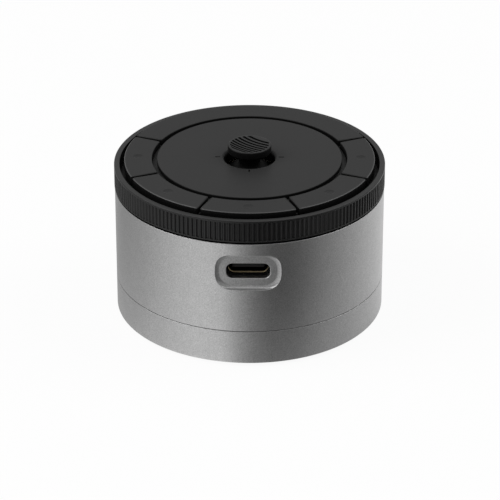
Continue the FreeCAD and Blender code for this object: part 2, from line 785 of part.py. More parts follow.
def port_shell():
    """The drawn steel sleeve that the plug enters."""
    body = new_body("port_shell")
    outline = new_sketch(body, "sleeve_outline", "XZ_Plane", RECEPTACLE_BACK)
    draw_slot(outline, RECEPTACLE_WIDTH, RECEPTACLE_HEIGHT)
    draw_slot(outline, INNER_WIDTH, INNER_HEIGHT)
    add_pad(body, "sleeve", outline, "receptacle_depth")
    return node(body, "port_shell")


def port_tongue():
    """The insulator that closes the back of the sleeve, and the tongue on it."""
    body = new_body("port_tongue")
    plug = new_sketch(body, "insulator_outline", "XZ_Plane", RECEPTACLE_BACK)
    draw_slot(plug, f"{INNER_WIDTH} - 2 * fit_clearance", f"{INNER_HEIGHT} - 2 * fit_clearance")
    add_pad(body, "insulator", plug, "insulator_depth")
    tongue = new_sketch(body, "tongue_outline", "XZ_Plane", RECEPTACLE_BACK)
    draw_rectangle(tongue, "0", PORT_HEIGHT, "tongue_width", "tongue_thickness")
    add_pad(body, "tongue", tongue, f"{TONGUE_FRONT} - {RECEPTACLE_BACK}")
    return node(body, "port_tongue")


def port_contacts():
    """Two rows of spring contacts, on the tongue's upper and lower face."""
    strips = []
    count = int(value("contact_count"))
    middle_y = f"-({TONGUE_FRONT} - contact_setback - contact_length / 2)"
    for face, low in (("upper", f"{PORT_HEIGHT} + tongue_thickness / 2"),
                      ("lower", f"{PORT_HEIGHT} - tongue_thickness / 2 - contact_thickness")):
        for index in range(count):
            x = f"({index} - (contact_count - 1) / 2) * contact_pitch"
            strips.append(solid_box(f"contact_{face}_{index + 1}", x, middle_y, low, "contact_width",
                                    "contact_length", "contact_thickness"))
    return node(group("port_contact_group", strips), "port_contacts")


# ---------------------------------------------------------------------------------------------
# The main board and what it carries
# ---------------------------------------------------------------------------------------------


def main_board():
    """The round board under the bosses, notched round the columns."""
    body = new_body("main_board")
    outline = new_sketch(body, "main_board_outline", "XY_Plane", BOARD_BOTTOM)
    draw_circle(outline, "0", "0", f"{BODY_BORE} - board_clearance")
    add_pad(body, "main_board_disc", outline, "board_thickness")
    notches = new_sketch(body, "main_board_notches", "XY_Plane", BOARD_BOTTOM)
    hole_circle(notches, COLUMN_PLACE, COLUMN_TURNS, "column_diameter / 2 + column_clearance")
    add_pocket(body, "main_board_notch_cut", notches, "board_thickness", forward=True)
    holes = new_sketch(body, "main_board_holes", "XY_Plane", BOARD_BOTTOM)
    hole_circle(holes, BOSS_PLACE, BOSS_TURNS, PILOT_RADIUS)
    add_pocket(body, "main_board_hole_cut", holes, "board_thickness", forward=True)
    return node(body, "main_board")


def controller_chip():
    """The controller, a flat square package."""
    chip = solid_box("chip", CHIP_PLACE, "-chip_side", BOARD_TOP, "chip_side", "chip_side",
                     "chip_height")
    return node(chip, "controller_chip")


def board_passives():
    """A row of small chip parts on either side of the stick's module."""
    parts = []
    count = int(value("passive_count"))
    for side in (-1, 1):
        for index in range(count):
            x = f"{side} * {CHIP_PLACE}"
            y = f"{index + 1} * passive_pitch"
            parts.append(solid_box(f"passive_{len(parts) + 1}", x, y, BOARD_TOP, "passive_length",
                                   "passive_width", "passive_height"))
    return node(group("passive_group", parts), "board_passives")


def connectors():
    """The two ribbon sockets, one on the main board and one hanging under the deck board."""
    lower = solid_box("lower_connector", "0", CONNECTOR_PLACE, BOARD_TOP, "connector_width",
                      "connector_depth", "connector_height")
    upper = solid_box("upper_connector", "0", CONNECTOR_PLACE, f"{PLATE_TOP} - connector_height",
                      "connector_width", "connector_depth", "connector_height")
    node(lower, "board_connector")
    node(upper, "deck_connector")


def ribbon_cable():
    """The flat cable between the two boards: a shallow arc from one socket up to the other."""
    body = new_body("ribbon_cable")
    sketch = new_sketch(body, "ribbon_side", "YZ_Plane", "-ribbon_width / 2")
    low, high = f"({BOARD_TOP} + connector_height)", f"({PLATE_TOP} - connector_height)"
    half = f"(({high} - {low}) / 2)"
    radius = f"(({half} ^ 2 + ribbon_bulge ^ 2) / (2 * ribbon_bulge))"
    center_y = f"({CONNECTOR_PLACE} + ribbon_bulge - {radius})"
    outer, inner = f"({radius} + ribbon_thickness / 2)", f"({radius} - ribbon_thickness / 2)"
    outer_y = f"{center_y} + sqrt({outer} ^ 2 - {half} ^ 2)"
    inner_y = f"{center_y} + sqrt({inner} ^ 2 - {half} ^ 2)"
    corners = [(inner_y, low), (outer_y, low), (outer_y, high), (inner_y, high)]
    draw_profile(sketch, corners, {1: outer, 3: inner}, (center_y, f"({low} + {high}) / 2"))
    add_pad(body, "ribbon", sketch, "ribbon_width")
    return node(body, "ribbon_cable")


# ---------------------------------------------------------------------------------------------
# The dial that turns
# ---------------------------------------------------------------------------------------------


def dial_ring():
    """The knurled ring, with a flat land on top and a ledge inside its foot for the carrier."""
    body = new_body("dial_ring")
    add_turn(body, "ring_turn", [
        (LEDGE_BORE, RING_BOTTOM),
        (f"{RING_RADIUS} - ring_edge", RING_BOTTOM),
        (RING_RADIUS, f"{RING_BOTTOM} + ring_edge"),
        (RING_RADIUS, f"{RING_TOP} - ring_edge"),
        (f"{RING_RADIUS} - ring_edge", RING_TOP),
        (RING_BORE, RING_TOP),
        (RING_BORE, CARRIER_BOTTOM),
        (LEDGE_BORE, CARRIER_BOTTOM),
    ])
    flute = new_sketch(body, "flute_outline", "XY_Plane", f"{RING_BOTTOM} + knurl_rim")
    draw_polygon(flute, [
        (f"{RING_RADIUS} + knurl_depth", "-knurl_width / 2 - knurl_depth / 2"),
        (f"{RING_RADIUS} + knurl_depth", "knurl_width / 2 + knurl_depth / 2"),
        (f"{RING_RADIUS} - knurl_depth", "knurl_floor / 2"),
        (f"{RING_RADIUS} - knurl_depth", "-knurl_floor / 2"),
    ])
    one = add_pocket(body, "flute", flute, "ring_height - 2 * knurl_rim", forward=True)
    pattern = body.newObject("PartDesign::PolarPattern", "flutes")
    pattern.Originals = [one]
    pattern.Axis = (flute, ["N_Axis"])
    pattern.Angle = 360
    bind(pattern, "Occurrences", "knurl_count")
    body.Tip = pattern
    return node(body, "dial_ring")


def dial_carrier():
    """The flange inside the knurled ring. It turns on the hub and the glide ring, and its top
    holds the pole ring in a groove."""
    body = new_body("dial_carrier")
    add_turn(body, "dial_carrier_turn", [
        (CARRIER_BORE, RING_BOTTOM),
        (f"{GLIDE_INNER} - running_gap", RING_BOTTOM),
        (f"{GLIDE_INNER} - running_gap", CARRIER_BOTTOM),
        (f"{RING_BORE} - fit_clearance", CARRIER_BOTTOM),
        (f"{RING_BORE} - fit_clearance", CARRIER_TOP),
        (POLE_OUTER, CARRIER_TOP),
        (POLE_OUTER, f"{CARRIER_TOP} - pole_height"),
        (POLE_INNER, f"{CARRIER_TOP} - pole_height"),
        (POLE_INNER, CARRIER_TOP),
        (CARRIER_BORE, CARRIER_TOP),
    ])
    return node(body, "dial_carrier")


def pole_ring():
    """The magnetised ring whose poles the dial sensors count."""
    body = new_body("pole_ring")
    outline = new_sketch(body, "pole_outline", "XY_Plane", f"{CARRIER_TOP} - pole_height")
    draw_ring(outline, f"{POLE_OUTER} - fit_clearance", f"{POLE_INNER} + fit_clearance")
    add_pad(body, "pole_pad", outline, "pole_height")
    return node(body, "pole_ring")


def glide_ring():
    """The slippery ring on the shell's flange that the carrier runs on."""
    body = new_body("glide_ring")
    outline = new_sketch(body, "glide_outline", "XY_Plane", SHELL_TOP)
    draw_ring(outline, GLIDE_OUTER, GLIDE_INNER)
    add_pad(body, "glide_pad", outline, f"{GLIDE_TOP} - {SHELL_TOP}")
    return node(body, "glide_ring")


# ---------------------------------------------------------------------------------------------
# The deck: frame, board, switches and sensors
# ---------------------------------------------------------------------------------------------

SENSOR_CENTER = f"(({POLE_INNER} + {POLE_OUTER}) / 2)"
SENSOR_TURNS = ("90", "90 - key_pitch / 2")


def key_turn(step):
    """The turn of a key about the axis."""
    return f"({PORT_TURN} + ({step}) * key_pitch)"


def pin_places():
    """The place of every guide pin under the keys and the rear cover."""
    places = []
    for step in KEY_TURNS.values():
        for side in (-1, 1):
            places.append(polar(KEY_CENTER, f"{PORT_TURN} + ({step}) * key_pitch + ({side}) * pin_angle"))
    for step in (-1, 0, 1):
        for side in (-1, 1):
            places.append(polar(KEY_CENTER, f"90 + ({step}) * key_pitch + ({side}) * pin_angle"))
    return places


def deck_frame():
    """The frame screwed to the shell's flange: its hub guides the carrier, and its plate keeps
    the carrier down and carries the deck board."""
    body = new_body("deck_frame")
    add_turn(body, "deck_frame_turn", [
        (HUB_BORE, SHELL_TOP),
        (HUB_RADIUS, SHELL_TOP),
        (HUB_RADIUS, PLATE_BOTTOM),
        (f"{KEY_OUTER} - plate_setback", PLATE_BOTTOM),
        (f"{KEY_OUTER} - plate_setback", PLATE_TOP),
        (f"{HUB_BORE} - plate_reach", PLATE_TOP),
        (f"{HUB_BORE} - plate_reach", PLATE_BOTTOM),
        (HUB_BORE, PLATE_BOTTOM),
    ])
    pilots = new_sketch(body, "deck_frame_pilots", "XY_Plane", SHELL_TOP)
    hole_circle(pilots, HUB_MIDDLE, DECK_SCREW_TURNS, PILOT_RADIUS)
    add_pocket(body, "deck_frame_pilot_cut", pilots, f"{PLATE_TOP} - {SHELL_TOP}", forward=True)
    pins = new_sketch(body, "deck_frame_pin_holes", "XY_Plane", PLATE_BOTTOM)
    for x, y in pin_places():
        draw_circle(pins, x, y, "pin_diameter / 2 + running_gap")
    add_pocket(body, "deck_frame_pin_hole_cut", pins, "plate_thickness", forward=True)
    for index, turn in enumerate(SENSOR_TURNS):
        window = new_sketch(body, f"sensor_window_{index + 1}", "XY_Plane", PLATE_BOTTOM)
        x, y = polar(SENSOR_CENTER, turn)
        draw_rectangle(window, x, y, "sensor_width + 2 * sensor_clearance",
                       "sensor_length + 2 * sensor_clearance")
        add_pocket(body, f"sensor_window_cut_{index + 1}", window, "plate_thickness", forward=True)
    return node(body, "deck_frame")


def deck_board():
    """The board under the keys."""
    body = new_body("deck_board")
    outline = new_sketch(body, "deck_board_outline", "XY_Plane", PLATE_TOP)
    draw_ring(outline, f"{KEY_OUTER} - deck_board_setback", f"{DOME_RADIUS} + dome_clearance")
    add_pad(body, "deck_board_disc", outline, "deck_board_thickness")
    pins = new_sketch(body, "deck_board_pin_holes", "XY_Plane", PLATE_TOP)
    for x, y in pin_places():
        draw_circle(pins, x, y, "pin_diameter / 2 + running_gap")
    add_pocket(body, "deck_board_pin_hole_cut", pins, "deck_board_thickness", forward=True)
    return node(body, "deck_board")


def dial_sensors():
    """Two magnetic sensors under the deck board, looking down at the pole ring through windows
    in the frame's plate."""
    chips = []
    for index, turn in enumerate(SENSOR_TURNS):
        x, y = polar(SENSOR_CENTER, turn)
        chips.append(solid_box(f"sensor_{index + 1}", x, y, f"{PLATE_TOP} - sensor_height",
                               "sensor_width", "sensor_length", "sensor_height"))
    return node(group("sensor_group", chips), "dial_sensors")


def key_switches():
    """The switch housings, one under each key, each with a hole for its plunger."""
    housings = []
    for name, step in KEY_TURNS.items():
        x, y = polar(KEY_CENTER, key_turn(step))
        block = doc.addObject("Part::Prism", f"switch_block_{name}")
        block.Polygon = 4
        bind(block, "Circumradius", "switch_side / sqrt(2)")
        bind(block, "Height", "switch_height")
        bind(block, "Placement.Base.x", x)
        bind(block, "Placement.Base.y", y)
        bind(block, "Placement.Base.z", DECK_BOARD_TOP)
        turn_about_axis(block, f"{key_turn(step)} + 45")
        hole = solid_cylinder(f"switch_hole_{name}", x, y, DECK_BOARD_TOP,
                              "plunger_diameter / 2 + fit_clearance", "switch_height")
        housings.append(cut_from(f"switch_{name}", block, hole))
    return node(group("switch_group", housings), "key_switches")


# ---------------------------------------------------------------------------------------------
# The keys and the cover behind them
# ---------------------------------------------------------------------------------------------


def cap_blank(body, stem, half_turn, bottom):
    """The common shape of a key and the rear cover: a sector with rounded edges, hollow below."""
    outline = new_sketch(body, stem + "_outline", "XY_Plane", bottom)
    draw_sector(outline, KEY_INNER, KEY_OUTER, half_turn, "key_gap / 2")
    block = add_pad(body, stem + "_block", outline, f"{DECK_TOP} - {bottom}")
    corners = add_fillet(body, stem + "_corners", block, "key_corner", stands_upright)
    top = value(DECK_TOP)
    add_fillet(body, stem + "_edges", corners, "key_edge", lambda edge: lies_at(edge, top))
    hollow = new_sketch(body, stem + "_hollow", "XY_Plane", bottom)
    draw_sector(hollow, f"({KEY_INNER} + key_wall)", f"({KEY_OUTER} - key_wall)", half_turn,
                "key_gap / 2 + key_wall")
    add_pocket(body, stem + "_hollow_cut", hollow, f"{KEY_CEILING} - {bottom}", forward=True)


def add_pins(body, stem, turns):
    """Guide pins that hang from the ceiling of a key into the deck."""
    pins = new_sketch(body, stem + "_pins", "XY_Plane", PIN_FOOT)
    for turn in turns:
        x, y = polar(KEY_CENTER, turn)
        draw_circle(pins, x, y, "pin_diameter / 2")
    add_pad(body, stem + "_pin_pad", pins, f"{KEY_CEILING} - {PIN_FOOT}")


def key_cap(name, step):
    """One key: the cap with its dimple, the post that pushes the plunger, two guide pins, and
    the lip that the retainer holds down. It is drawn on X and turned to its place."""
    stem = "key_" + name
    body = new_body(stem)
    cap_blank(body, stem, "key_pitch / 2", KEY_BOTTOM)
    post = new_sketch(body, stem + "_post", "XY_Plane", PLUNGER_TOP)
    draw_circle(post, KEY_CENTER, "0", "key_post / 2")
    add_pad(body, stem + "_post_pad", post, f"{KEY_CEILING} - {PLUNGER_TOP}")
    add_pins(body, stem, ("-pin_angle", "pin_angle"))
    lip = new_sketch(body, stem + "_lip", "XY_Plane", KEY_BOTTOM)
    draw_sector(lip, f"({KEY_INNER} - lip_width)", f"({KEY_INNER} + key_wall / 2)", "key_pitch / 2",
                "lip_margin")
    add_pad(body, stem + "_lip_pad", lip, "lip_thickness")
    before = solid_volume(body)
    sphere_radius = "((dimple_diameter / 2) ^ 2 / dimple_depth + dimple_depth) / 2"
    dimple = body.newObject("PartDesign::SubtractiveSphere", stem + "_dimple")
    bind(dimple, "Radius", sphere_radius)
    bind(dimple, "Placement.Base.x", KEY_CENTER)
    bind(dimple, "Placement.Base.z", f"{DECK_TOP} + {sphere_radius} - dimple_depth")
    must_cut(body, dimple, before)
    turn_about_axis(body, key_turn(step))
    return node(body, stem)


def plunger(name, step):
    """The button of a switch, which goes down with its key."""
    x, y = polar(KEY_CENTER, key_turn(step))
    rod = solid_cylinder("plunger_rod_" + name, x, y, PLUNGER_BOTTOM, "plunger_diameter / 2",
                         f"{PLUNGER_TOP} - {PLUNGER_BOTTOM}")
    return node(rod, "plunger_" + name)


def rear_cover():
    """The plain arc behind the keys, three keys long, which stands on the deck board."""
    body = new_body("rear_cover")
    cap_blank(body, "rear_cover", "key_pitch * 3 / 2", DECK_BOARD_TOP)
    turns = [f"({step}) * key_pitch + ({side}) * pin_angle" for step in (-1, 0, 1) for side in (-1, 1)]
    add_pins(body, "rear_cover", turns)
    turn_about_axis(body, "90")
    return node(body, "rear_cover")


# ---------------------------------------------------------------------------------------------
# The retainer and the centre disc
# ---------------------------------------------------------------------------------------------

RETAINER_OUTER = f"({DISC_RADIUS} - fit_clearance)"
RIB_TURNS = [key_turn(half) for half in (-2.5, -1.5, -0.5, 0.5, 1.5, 2.5)]


def key_retainer():
    """The web under the centre disc. Its rim reaches over the keys' lips and makes the floor of
    the round groove, and its ribs fill the foot of the gaps between the keys."""
    body = new_body("key_retainer")
    add_turn(body, "retainer_turn", [
        (f"{WELL_RADIUS} + collar_wall + fit_clearance", f"{GROOVE_FLOOR} - retainer_thickness"),
        (f"{RETAINER_OUTER} - retainer_wall", f"{GROOVE_FLOOR} - retainer_thickness"),
        (f"{RETAINER_OUTER} - retainer_wall", DECK_BOARD_TOP),
        (RETAINER_OUTER, DECK_BOARD_TOP),
        (RETAINER_OUTER, RIM_BOTTOM),
        (f"{KEY_INNER} - running_gap", RIM_BOTTOM),
        (f"{KEY_INNER} - running_gap", GROOVE_FLOOR),
        (f"{WELL_RADIUS} + collar_wall + fit_clearance", GROOVE_FLOOR),
    ])
    for index, turn in enumerate(RIB_TURNS):
        rib = new_sketch(body, f"rib_{index + 1}_outline", "XY_Plane", DECK_BOARD_TOP)
        corners = []
        for radius, side in ((f"({DISC_RADIUS} - retainer_wall / 2)", -1),
                             (f"({KEY_OUTER} - rib_end)", -1),
                             (f"({KEY_OUTER} - rib_end)", 1),
                             (f"({DISC_RADIUS} - retainer_wall / 2)", 1)):
            corners.append((f"{radius} * cos({turn}) - {side} * rib_width / 2 * sin({turn})",
                            f"{radius} * sin({turn}) + {side} * rib_width / 2 * cos({turn})"))
        draw_polygon(rib, corners)
        add_pad(body, f"rib_{index + 1}", rib, f"{GROOVE_FLOOR} - {DECK_BOARD_TOP}")
    return node(body, "key_retainer")


def centre_disc():
    """The flat disc glued on the retainer, with four ticks round the stick's well and a collar
    that lines the well."""
    body = new_body("centre_disc")
    disc = add_turn(body, "disc_turn", [
        (WELL_RADIUS, f"{GROOVE_FLOOR} - collar_drop"),
        (f"{WELL_RADIUS} + collar_wall", f"{GROOVE_FLOOR} - collar_drop"),
        (f"{WELL_RADIUS} + collar_wall", GROOVE_FLOOR),
        (DISC_RADIUS, GROOVE_FLOOR),
        (DISC_RADIUS, DECK_TOP),
        (WELL_RADIUS, DECK_TOP),
    ])
    top, halfway = value(DECK_TOP), value(f"({DISC_RADIUS} + {WELL_RADIUS}) / 2")
    outer = add_fillet(body, "disc_edge", disc, "key_edge",
                       lambda edge: lies_at(edge, top) and edge.BoundBox.XMax > halfway)
    add_fillet(body, "disc_well_edge", outer, "well_edge",
               lambda edge: lies_at(edge, top) and edge.BoundBox.XMax < halfway)
    ticks = new_sketch(body, "ticks_outline", "XY_Plane", DECK_TOP)
    place = f"({WELL_RADIUS} + tick_gap + tick_length / 2)"
    for side in (-1, 1):
        draw_rectangle(ticks, f"{side} * {place}", "0", "tick_length", "tick_width")
        draw_rectangle(ticks, "0", f"{side} * {place}", "tick_width", "tick_length")
    add_pocket(body, "tick_cut", ticks, "tick_depth")
    return node(body, "centre_disc")


# ---------------------------------------------------------------------------------------------
# The stick
# ---------------------------------------------------------------------------------------------

PIN_HOLE = "(pivot_pin / 2 + pivot_pin_clearance)"
PIN_END = "(module_side / 2 - module_wall + pivot_pin_bite)"
DOME_CEILING = f"({DOME_FLAT} - dome_wall)"


def stick_base():
    """The plate that the stick's module stands on."""
    plate = solid_box("module_plate", "0", "0", BOARD_TOP, "module_side", "module_side", "module_base")
    return node(plate, "stick_base")


def stick_housing():
    """The folded metal box of the module, with bearing holes for the yoke along X."""
    body = new_body("stick_housing")
    outline = new_sketch(body, "housing_outline", "XY_Plane", MODULE_BASE_TOP)
    inside = "module_side - 2 * module_wall"
    draw_rectangle(outline, "0", "0", "module_side", "module_side")
    draw_rectangle(outline, "0", "0", inside, inside)
    add_pad(body, "housing_walls", outline, f"{MODULE_TOP} - {MODULE_BASE_TOP}")
    bearing = new_sketch(body, "housing_bearing", "YZ_Plane", "-module_side / 2")
    draw_circle(bearing, "0", PIVOT, PIN_HOLE)
    add_pocket(body, "housing_bearing_cut", bearing, "module_side", forward=True)
    return node(body, "stick_housing")


def stick_yoke():
    """The gimbal ring: its own pins lie along X in the housing, and the carrier's pins lie in it
    along Y."""
    body = new_body("stick_yoke")
    outline = new_sketch(body, "yoke_outline", "XY_Plane", f"{PIVOT} - yoke_height / 2")
    draw_ring(outline, "yoke_diameter / 2", "yoke_bore / 2")
    add_pad(body, "yoke_ring", outline, "yoke_height")
    root = "(yoke_diameter + yoke_bore) / 4"
    for side, start in (("right", root), ("left", f"-{PIN_END}")):
        pin = new_sketch(body, f"yoke_pin_{side}_outline", "YZ_Plane", start)
        draw_circle(pin, "0", PIVOT, "pivot_pin / 2")
        add_pad(body, f"yoke_pin_{side}", pin, f"{PIN_END} - {root}")
    bearing = new_sketch(body, "yoke_bearing", "XZ_Plane", "-yoke_diameter / 2")
    draw_circle(bearing, "0", PIVOT, PIN_HOLE)
    add_pocket(body, "yoke_bearing_cut", bearing, "yoke_diameter", forward=True)
    return node(body, "stick_yoke")


def stick_carrier():
    """The block that tilts in the yoke and guides the shaft."""
    body = new_body("stick_carrier")
    outline = new_sketch(body, "carrier_outline", "XY_Plane", BLOCK_FOOT)
    draw_circle(outline, "0", "0", "carrier_diameter / 2")
    add_pad(body, "carrier_block", outline, "carrier_below + carrier_above")
    pins = new_sketch(body, "carrier_pins", "XZ_Plane", "-(yoke_diameter / 2 - yoke_edge)")
    draw_circle(pins, "0", PIVOT, "pivot_pin / 2")
    add_pad(body, "carrier_pin_pad", pins, "yoke_diameter - 2 * yoke_edge")
    bore = new_sketch(body, "carrier_bore", "XY_Plane", BLOCK_FOOT)
    draw_circle(bore, "0", "0", "shaft_diameter / 2 + shaft_clearance")
    add_pocket(body, "carrier_bore_cut", bore, "carrier_below + carrier_above", forward=True)
    return node(body, "stick_carrier")


def stick_shaft():
    """The steel pin that joins the cap to the press switch, with a neck for its clip."""
    body = new_body("stick_shaft")
    add_turn(body, "shaft_turn", [
        ("0", SHAFT_END),
        ("shaft_diameter / 2", SHAFT_END),
        ("shaft_diameter / 2", CLIP_BOTTOM),
        ("shaft_diameter / 2 - clip_bite", CLIP_BOTTOM),
        ("shaft_diameter / 2 - clip_bite", f"{CLIP_BOTTOM} + clip_height"),
        ("shaft_diameter / 2", f"{CLIP_BOTTOM} + clip_height"),
        ("shaft_diameter / 2", SHAFT_TOP),
        ("0", SHAFT_TOP),
    ])
    return node(body, "stick_shaft")


def shaft_clip():
    """The ring that keeps the shaft from coming up out of the carrier."""
    body = new_body("shaft_clip")
    outline = new_sketch(body, "clip_outline", "XY_Plane", CLIP_BOTTOM)
    draw_ring(outline, "clip_diameter / 2", "shaft_diameter / 2 - clip_bite")
    add_pad(body, "clip_pad", outline, "clip_height")
    return node(body, "shaft_clip")


def stick_dome():
    """The dark skirt that closes the well round the shaft: part of a sphere about the pivot, so
    that it keeps its gap at every tilt. Its flat top carries the cap's neck."""
    body = new_body("stick_dome")
    sketch = new_sketch(body, "dome_profile", "XZ_Plane")
    hole = "shaft_diameter / 2 + fit_clearance"
    inner_radius = f"({DOME_RADIUS} - dome_wall)"
    inner_top = f"sqrt({inner_radius} ^ 2 - {DOME_CEILING} ^ 2)"
    corners = [
        (hole, DOME_TOP),
        ("neck_diameter / 2", DOME_TOP),
        (f"sqrt({DOME_RADIUS} ^ 2 - dome_edge ^ 2)", f"{PIVOT} + dome_edge"),
        (f"sqrt({inner_radius} ^ 2 - dome_edge ^ 2)", f"{PIVOT} + dome_edge"),
        (inner_top, f"{PIVOT} + {DOME_CEILING}"),
        (hole, f"{PIVOT} + {DOME_CEILING}"),
    ]
    draw_profile(sketch, corners, {1: DOME_RADIUS, 3: inner_radius}, ("0", PIVOT))
    turn = body.newObject("PartDesign::Revolution", "dome_turn")
    turn.Profile = sketch
    turn.ReferenceAxis = (sketch, ["V_Axis"])
    turn.Angle = 360
    return node(body, "stick_dome")


def stick_cap():
    """The mushroom that the finger moves: a disc with rippled grooves inside a plain border, on a
    short neck bored for the shaft."""
    body = new_body("stick_cap")
    blank = add_turn(body, "cap_turn", [
        ("shaft_diameter / 2 + fit_clearance", DOME_TOP),
        ("neck_diameter / 2", DOME_TOP),
        ("neck_diameter / 2", CAP_BOTTOM),
        ("cap_diameter / 2 - cap_chamfer", CAP_BOTTOM),
        ("cap_diameter / 2", f"{CAP_BOTTOM} + cap_chamfer"),
        ("cap_diameter / 2", CAP_TOP),
        ("0", CAP_TOP),
        ("0", SHAFT_TOP),
        ("shaft_diameter / 2 + fit_clearance", SHAFT_TOP),
    ])
    top, halfway = value(CAP_TOP), value("cap_diameter / 4")
    add_fillet(body, "cap_top_edge", blank, "cap_edge",
               lambda edge: lies_at(edge, top) and edge.BoundBox.XMax > halfway)
    ripples = new_sketch(body, "ripple_outline", "XY_Plane", CAP_TOP)
    for index in range(int(value("ripple_count"))):
        for side in ("-", "+"):
            draw_circle(ripples, "ripple_center_x", "ripple_center_y",
                        f"ripple_radius + {index} * ripple_pitch {side} ripple_width / 2")
    add_pocket(body, "ripple_cut", ripples, "ripple_depth")
    border = new_sketch(body, "border_outline", "XY_Plane", f"{CAP_TOP} - ripple_depth")
    draw_ring(border, "cap_diameter / 2 - cap_edge", "cap_diameter / 2 - cap_border")
    add_pad(body, "border_fill", border, "ripple_depth")
    return node(body, "stick_cap")


def press_switch():
    """The low block on the module's plate that the snap dome sits on."""
    block = solid_box("press_block", "0", "0", MODULE_BASE_TOP, "press_side", "press_side", "press_height")
    return node(block, "press_switch")


def snap_dome():
    """The domed steel spring under the shaft."""
    body = new_body("snap_dome")
    sketch = new_sketch(body, "snap_profile", "XZ_Plane")
    outer = "(((snap_diameter / 2) ^ 2 + snap_rise ^ 2) / (2 * snap_rise))"
    inner = f"({outer} - snap_thickness)"
    center = f"({SNAP_TOP} - {outer})"
    corners = [
        ("0", SNAP_TOP),
        ("snap_diameter / 2", PRESS_TOP),
        (f"sqrt({inner} ^ 2 - ({outer} - snap_rise) ^ 2)", PRESS_TOP),
        ("0", f"{SNAP_TOP} - snap_thickness"),
    ]
    draw_profile(sketch, corners, {0: outer, 2: inner}, ("0", center))
    turn = body.newObject("PartDesign::Revolution", "snap_turn")
    turn.Profile = sketch
    turn.ReferenceAxis = (sketch, ["V_Axis"])
    turn.Angle = 360
    return node(body, "snap_dome")


def centring_spring():
    """The coil between the module's plate and the carrier, which brings the stick upright."""
    body = new_body("centring_spring")
    wire = new_sketch(body, "spring_wire_outline", "XZ_Plane")
    draw_circle(wire, "press_side / sqrt(2) + spring_clearance + spring_wire / 2",
                f"{MODULE_BASE_TOP} + spring_wire / 2 + fit_clearance", "spring_wire / 2")
    coil = body.newObject("PartDesign::AdditiveHelix", "spring_coil")
    coil.Profile = wire
    coil.ReferenceAxis = (wire, ["V_Axis"])
    coil.Mode = "height-turns-angle"
    bind(coil, "Height", f"{BLOCK_FOOT} - {MODULE_BASE_TOP} - spring_wire - 2 * fit_clearance")
    bind(coil, "Turns", "spring_turns")
    return node(body, "centring_spring")


# ---------------------------------------------------------------------------------------------
# Build, check and write
# ---------------------------------------------------------------------------------------------

base_cup()
foot_pad()
ballast_weight()
body_shell()
screws("base_screws", COLUMN_PLACE, COLUMN_TURNS, f"({PAD_TOP} + screw_head_height)",
       "floor_thickness - screw_head_height + base_bite")

port_shell()
port_tongue()
port_contacts()

main_board()
screws("board_screws", BOSS_PLACE, BOSS_TURNS, BOARD_BOTTOM, "board_thickness + board_bite")
controller_chip()
board_passives()
connectors()
ribbon_cable()

dial_ring()
dial_carrier()
pole_ring()
glide_ring()

deck_frame()
screws("deck_screws", HUB_MIDDLE, DECK_SCREW_TURNS, FLANGE_BOTTOM,
       f"{PLATE_TOP} - deck_screw_setback - {FLANGE_BOTTOM}")
deck_board()
dial_sensors()
key_switches()

for key_name, key_step in KEY_TURNS.items():
    key_cap(key_name, key_step)
    plunger(key_name, key_step)
rear_cover()
key_retainer()
centre_disc()

stick_base()
stick_housing()
stick_yoke()
stick_carrier()
stick_shaft()
shaft_clip()
stick_dome()
stick_cap()
press_switch()
snap_dome()
centring_spring()

doc.recompute()
for item in doc.Objects:
    if "Invalid" in item.State or "Error" in item.State:
        raise RuntimeError(f"{item.Name} is in state {item.State}")
for item in NODES:
    if item.Shape.isNull() or not item.Shape.isValid():
        raise RuntimeError(f"{item.Label} has no valid shape")

os.makedirs("parts", exist_ok=True)
for item in NODES:
    item.Shape.exportStep(f"parts/{item.Label}.step")
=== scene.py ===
# %% [markdown]
# # A desk dial with keys and a small stick
# The dial is an aluminium drum on a rubber foot, with a knurled ring that turns on top of it.
# Inside the ring lie five keys, a plain arc and a disc with a little joystick in the middle.
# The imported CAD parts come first, as a fixed frame. Everything made here is measured in the same
# frame: metres, the desk at Z = 0, the dial's axis on Z and the port towards -Y.

# %% Load the frame
import math

import bmesh
import bpy
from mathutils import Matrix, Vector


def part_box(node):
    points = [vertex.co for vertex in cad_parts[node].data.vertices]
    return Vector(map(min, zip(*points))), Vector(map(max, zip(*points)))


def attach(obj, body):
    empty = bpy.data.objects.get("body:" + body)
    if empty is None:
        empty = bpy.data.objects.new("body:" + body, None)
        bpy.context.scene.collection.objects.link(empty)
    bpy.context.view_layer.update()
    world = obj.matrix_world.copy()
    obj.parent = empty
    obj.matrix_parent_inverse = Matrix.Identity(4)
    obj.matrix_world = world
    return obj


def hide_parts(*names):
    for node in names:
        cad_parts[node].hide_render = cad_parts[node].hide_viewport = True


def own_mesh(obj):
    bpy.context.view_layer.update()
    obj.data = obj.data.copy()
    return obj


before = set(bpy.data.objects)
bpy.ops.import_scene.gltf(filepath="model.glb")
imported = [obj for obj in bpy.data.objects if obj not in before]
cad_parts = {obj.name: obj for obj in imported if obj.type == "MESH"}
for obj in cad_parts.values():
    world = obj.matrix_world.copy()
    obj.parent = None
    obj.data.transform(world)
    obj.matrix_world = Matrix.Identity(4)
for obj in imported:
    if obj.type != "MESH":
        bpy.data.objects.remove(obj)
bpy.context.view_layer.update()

MM = 0.001

# %% [markdown]
# ## Working like a modeller at the screen
# Blender's operators act on whatever is selected, and loading the frame leaves all its parts
# selected. So each piece is taken up alone, its points, edges or faces are picked by where they
# are, and it is put down again before the next one.

# %% Take up, pick and put down


def put_down():
    """Leave edit mode with nothing selected."""
    if bpy.context.mode != "OBJECT":
        bpy.ops.object.mode_set(mode="OBJECT")
    bpy.ops.object.select_all(action="DESELECT")


def choose(piece):
    """Select one piece alone, in object mode."""
    put_down()
    piece.select_set(True)
    bpy.context.view_layer.objects.active = piece


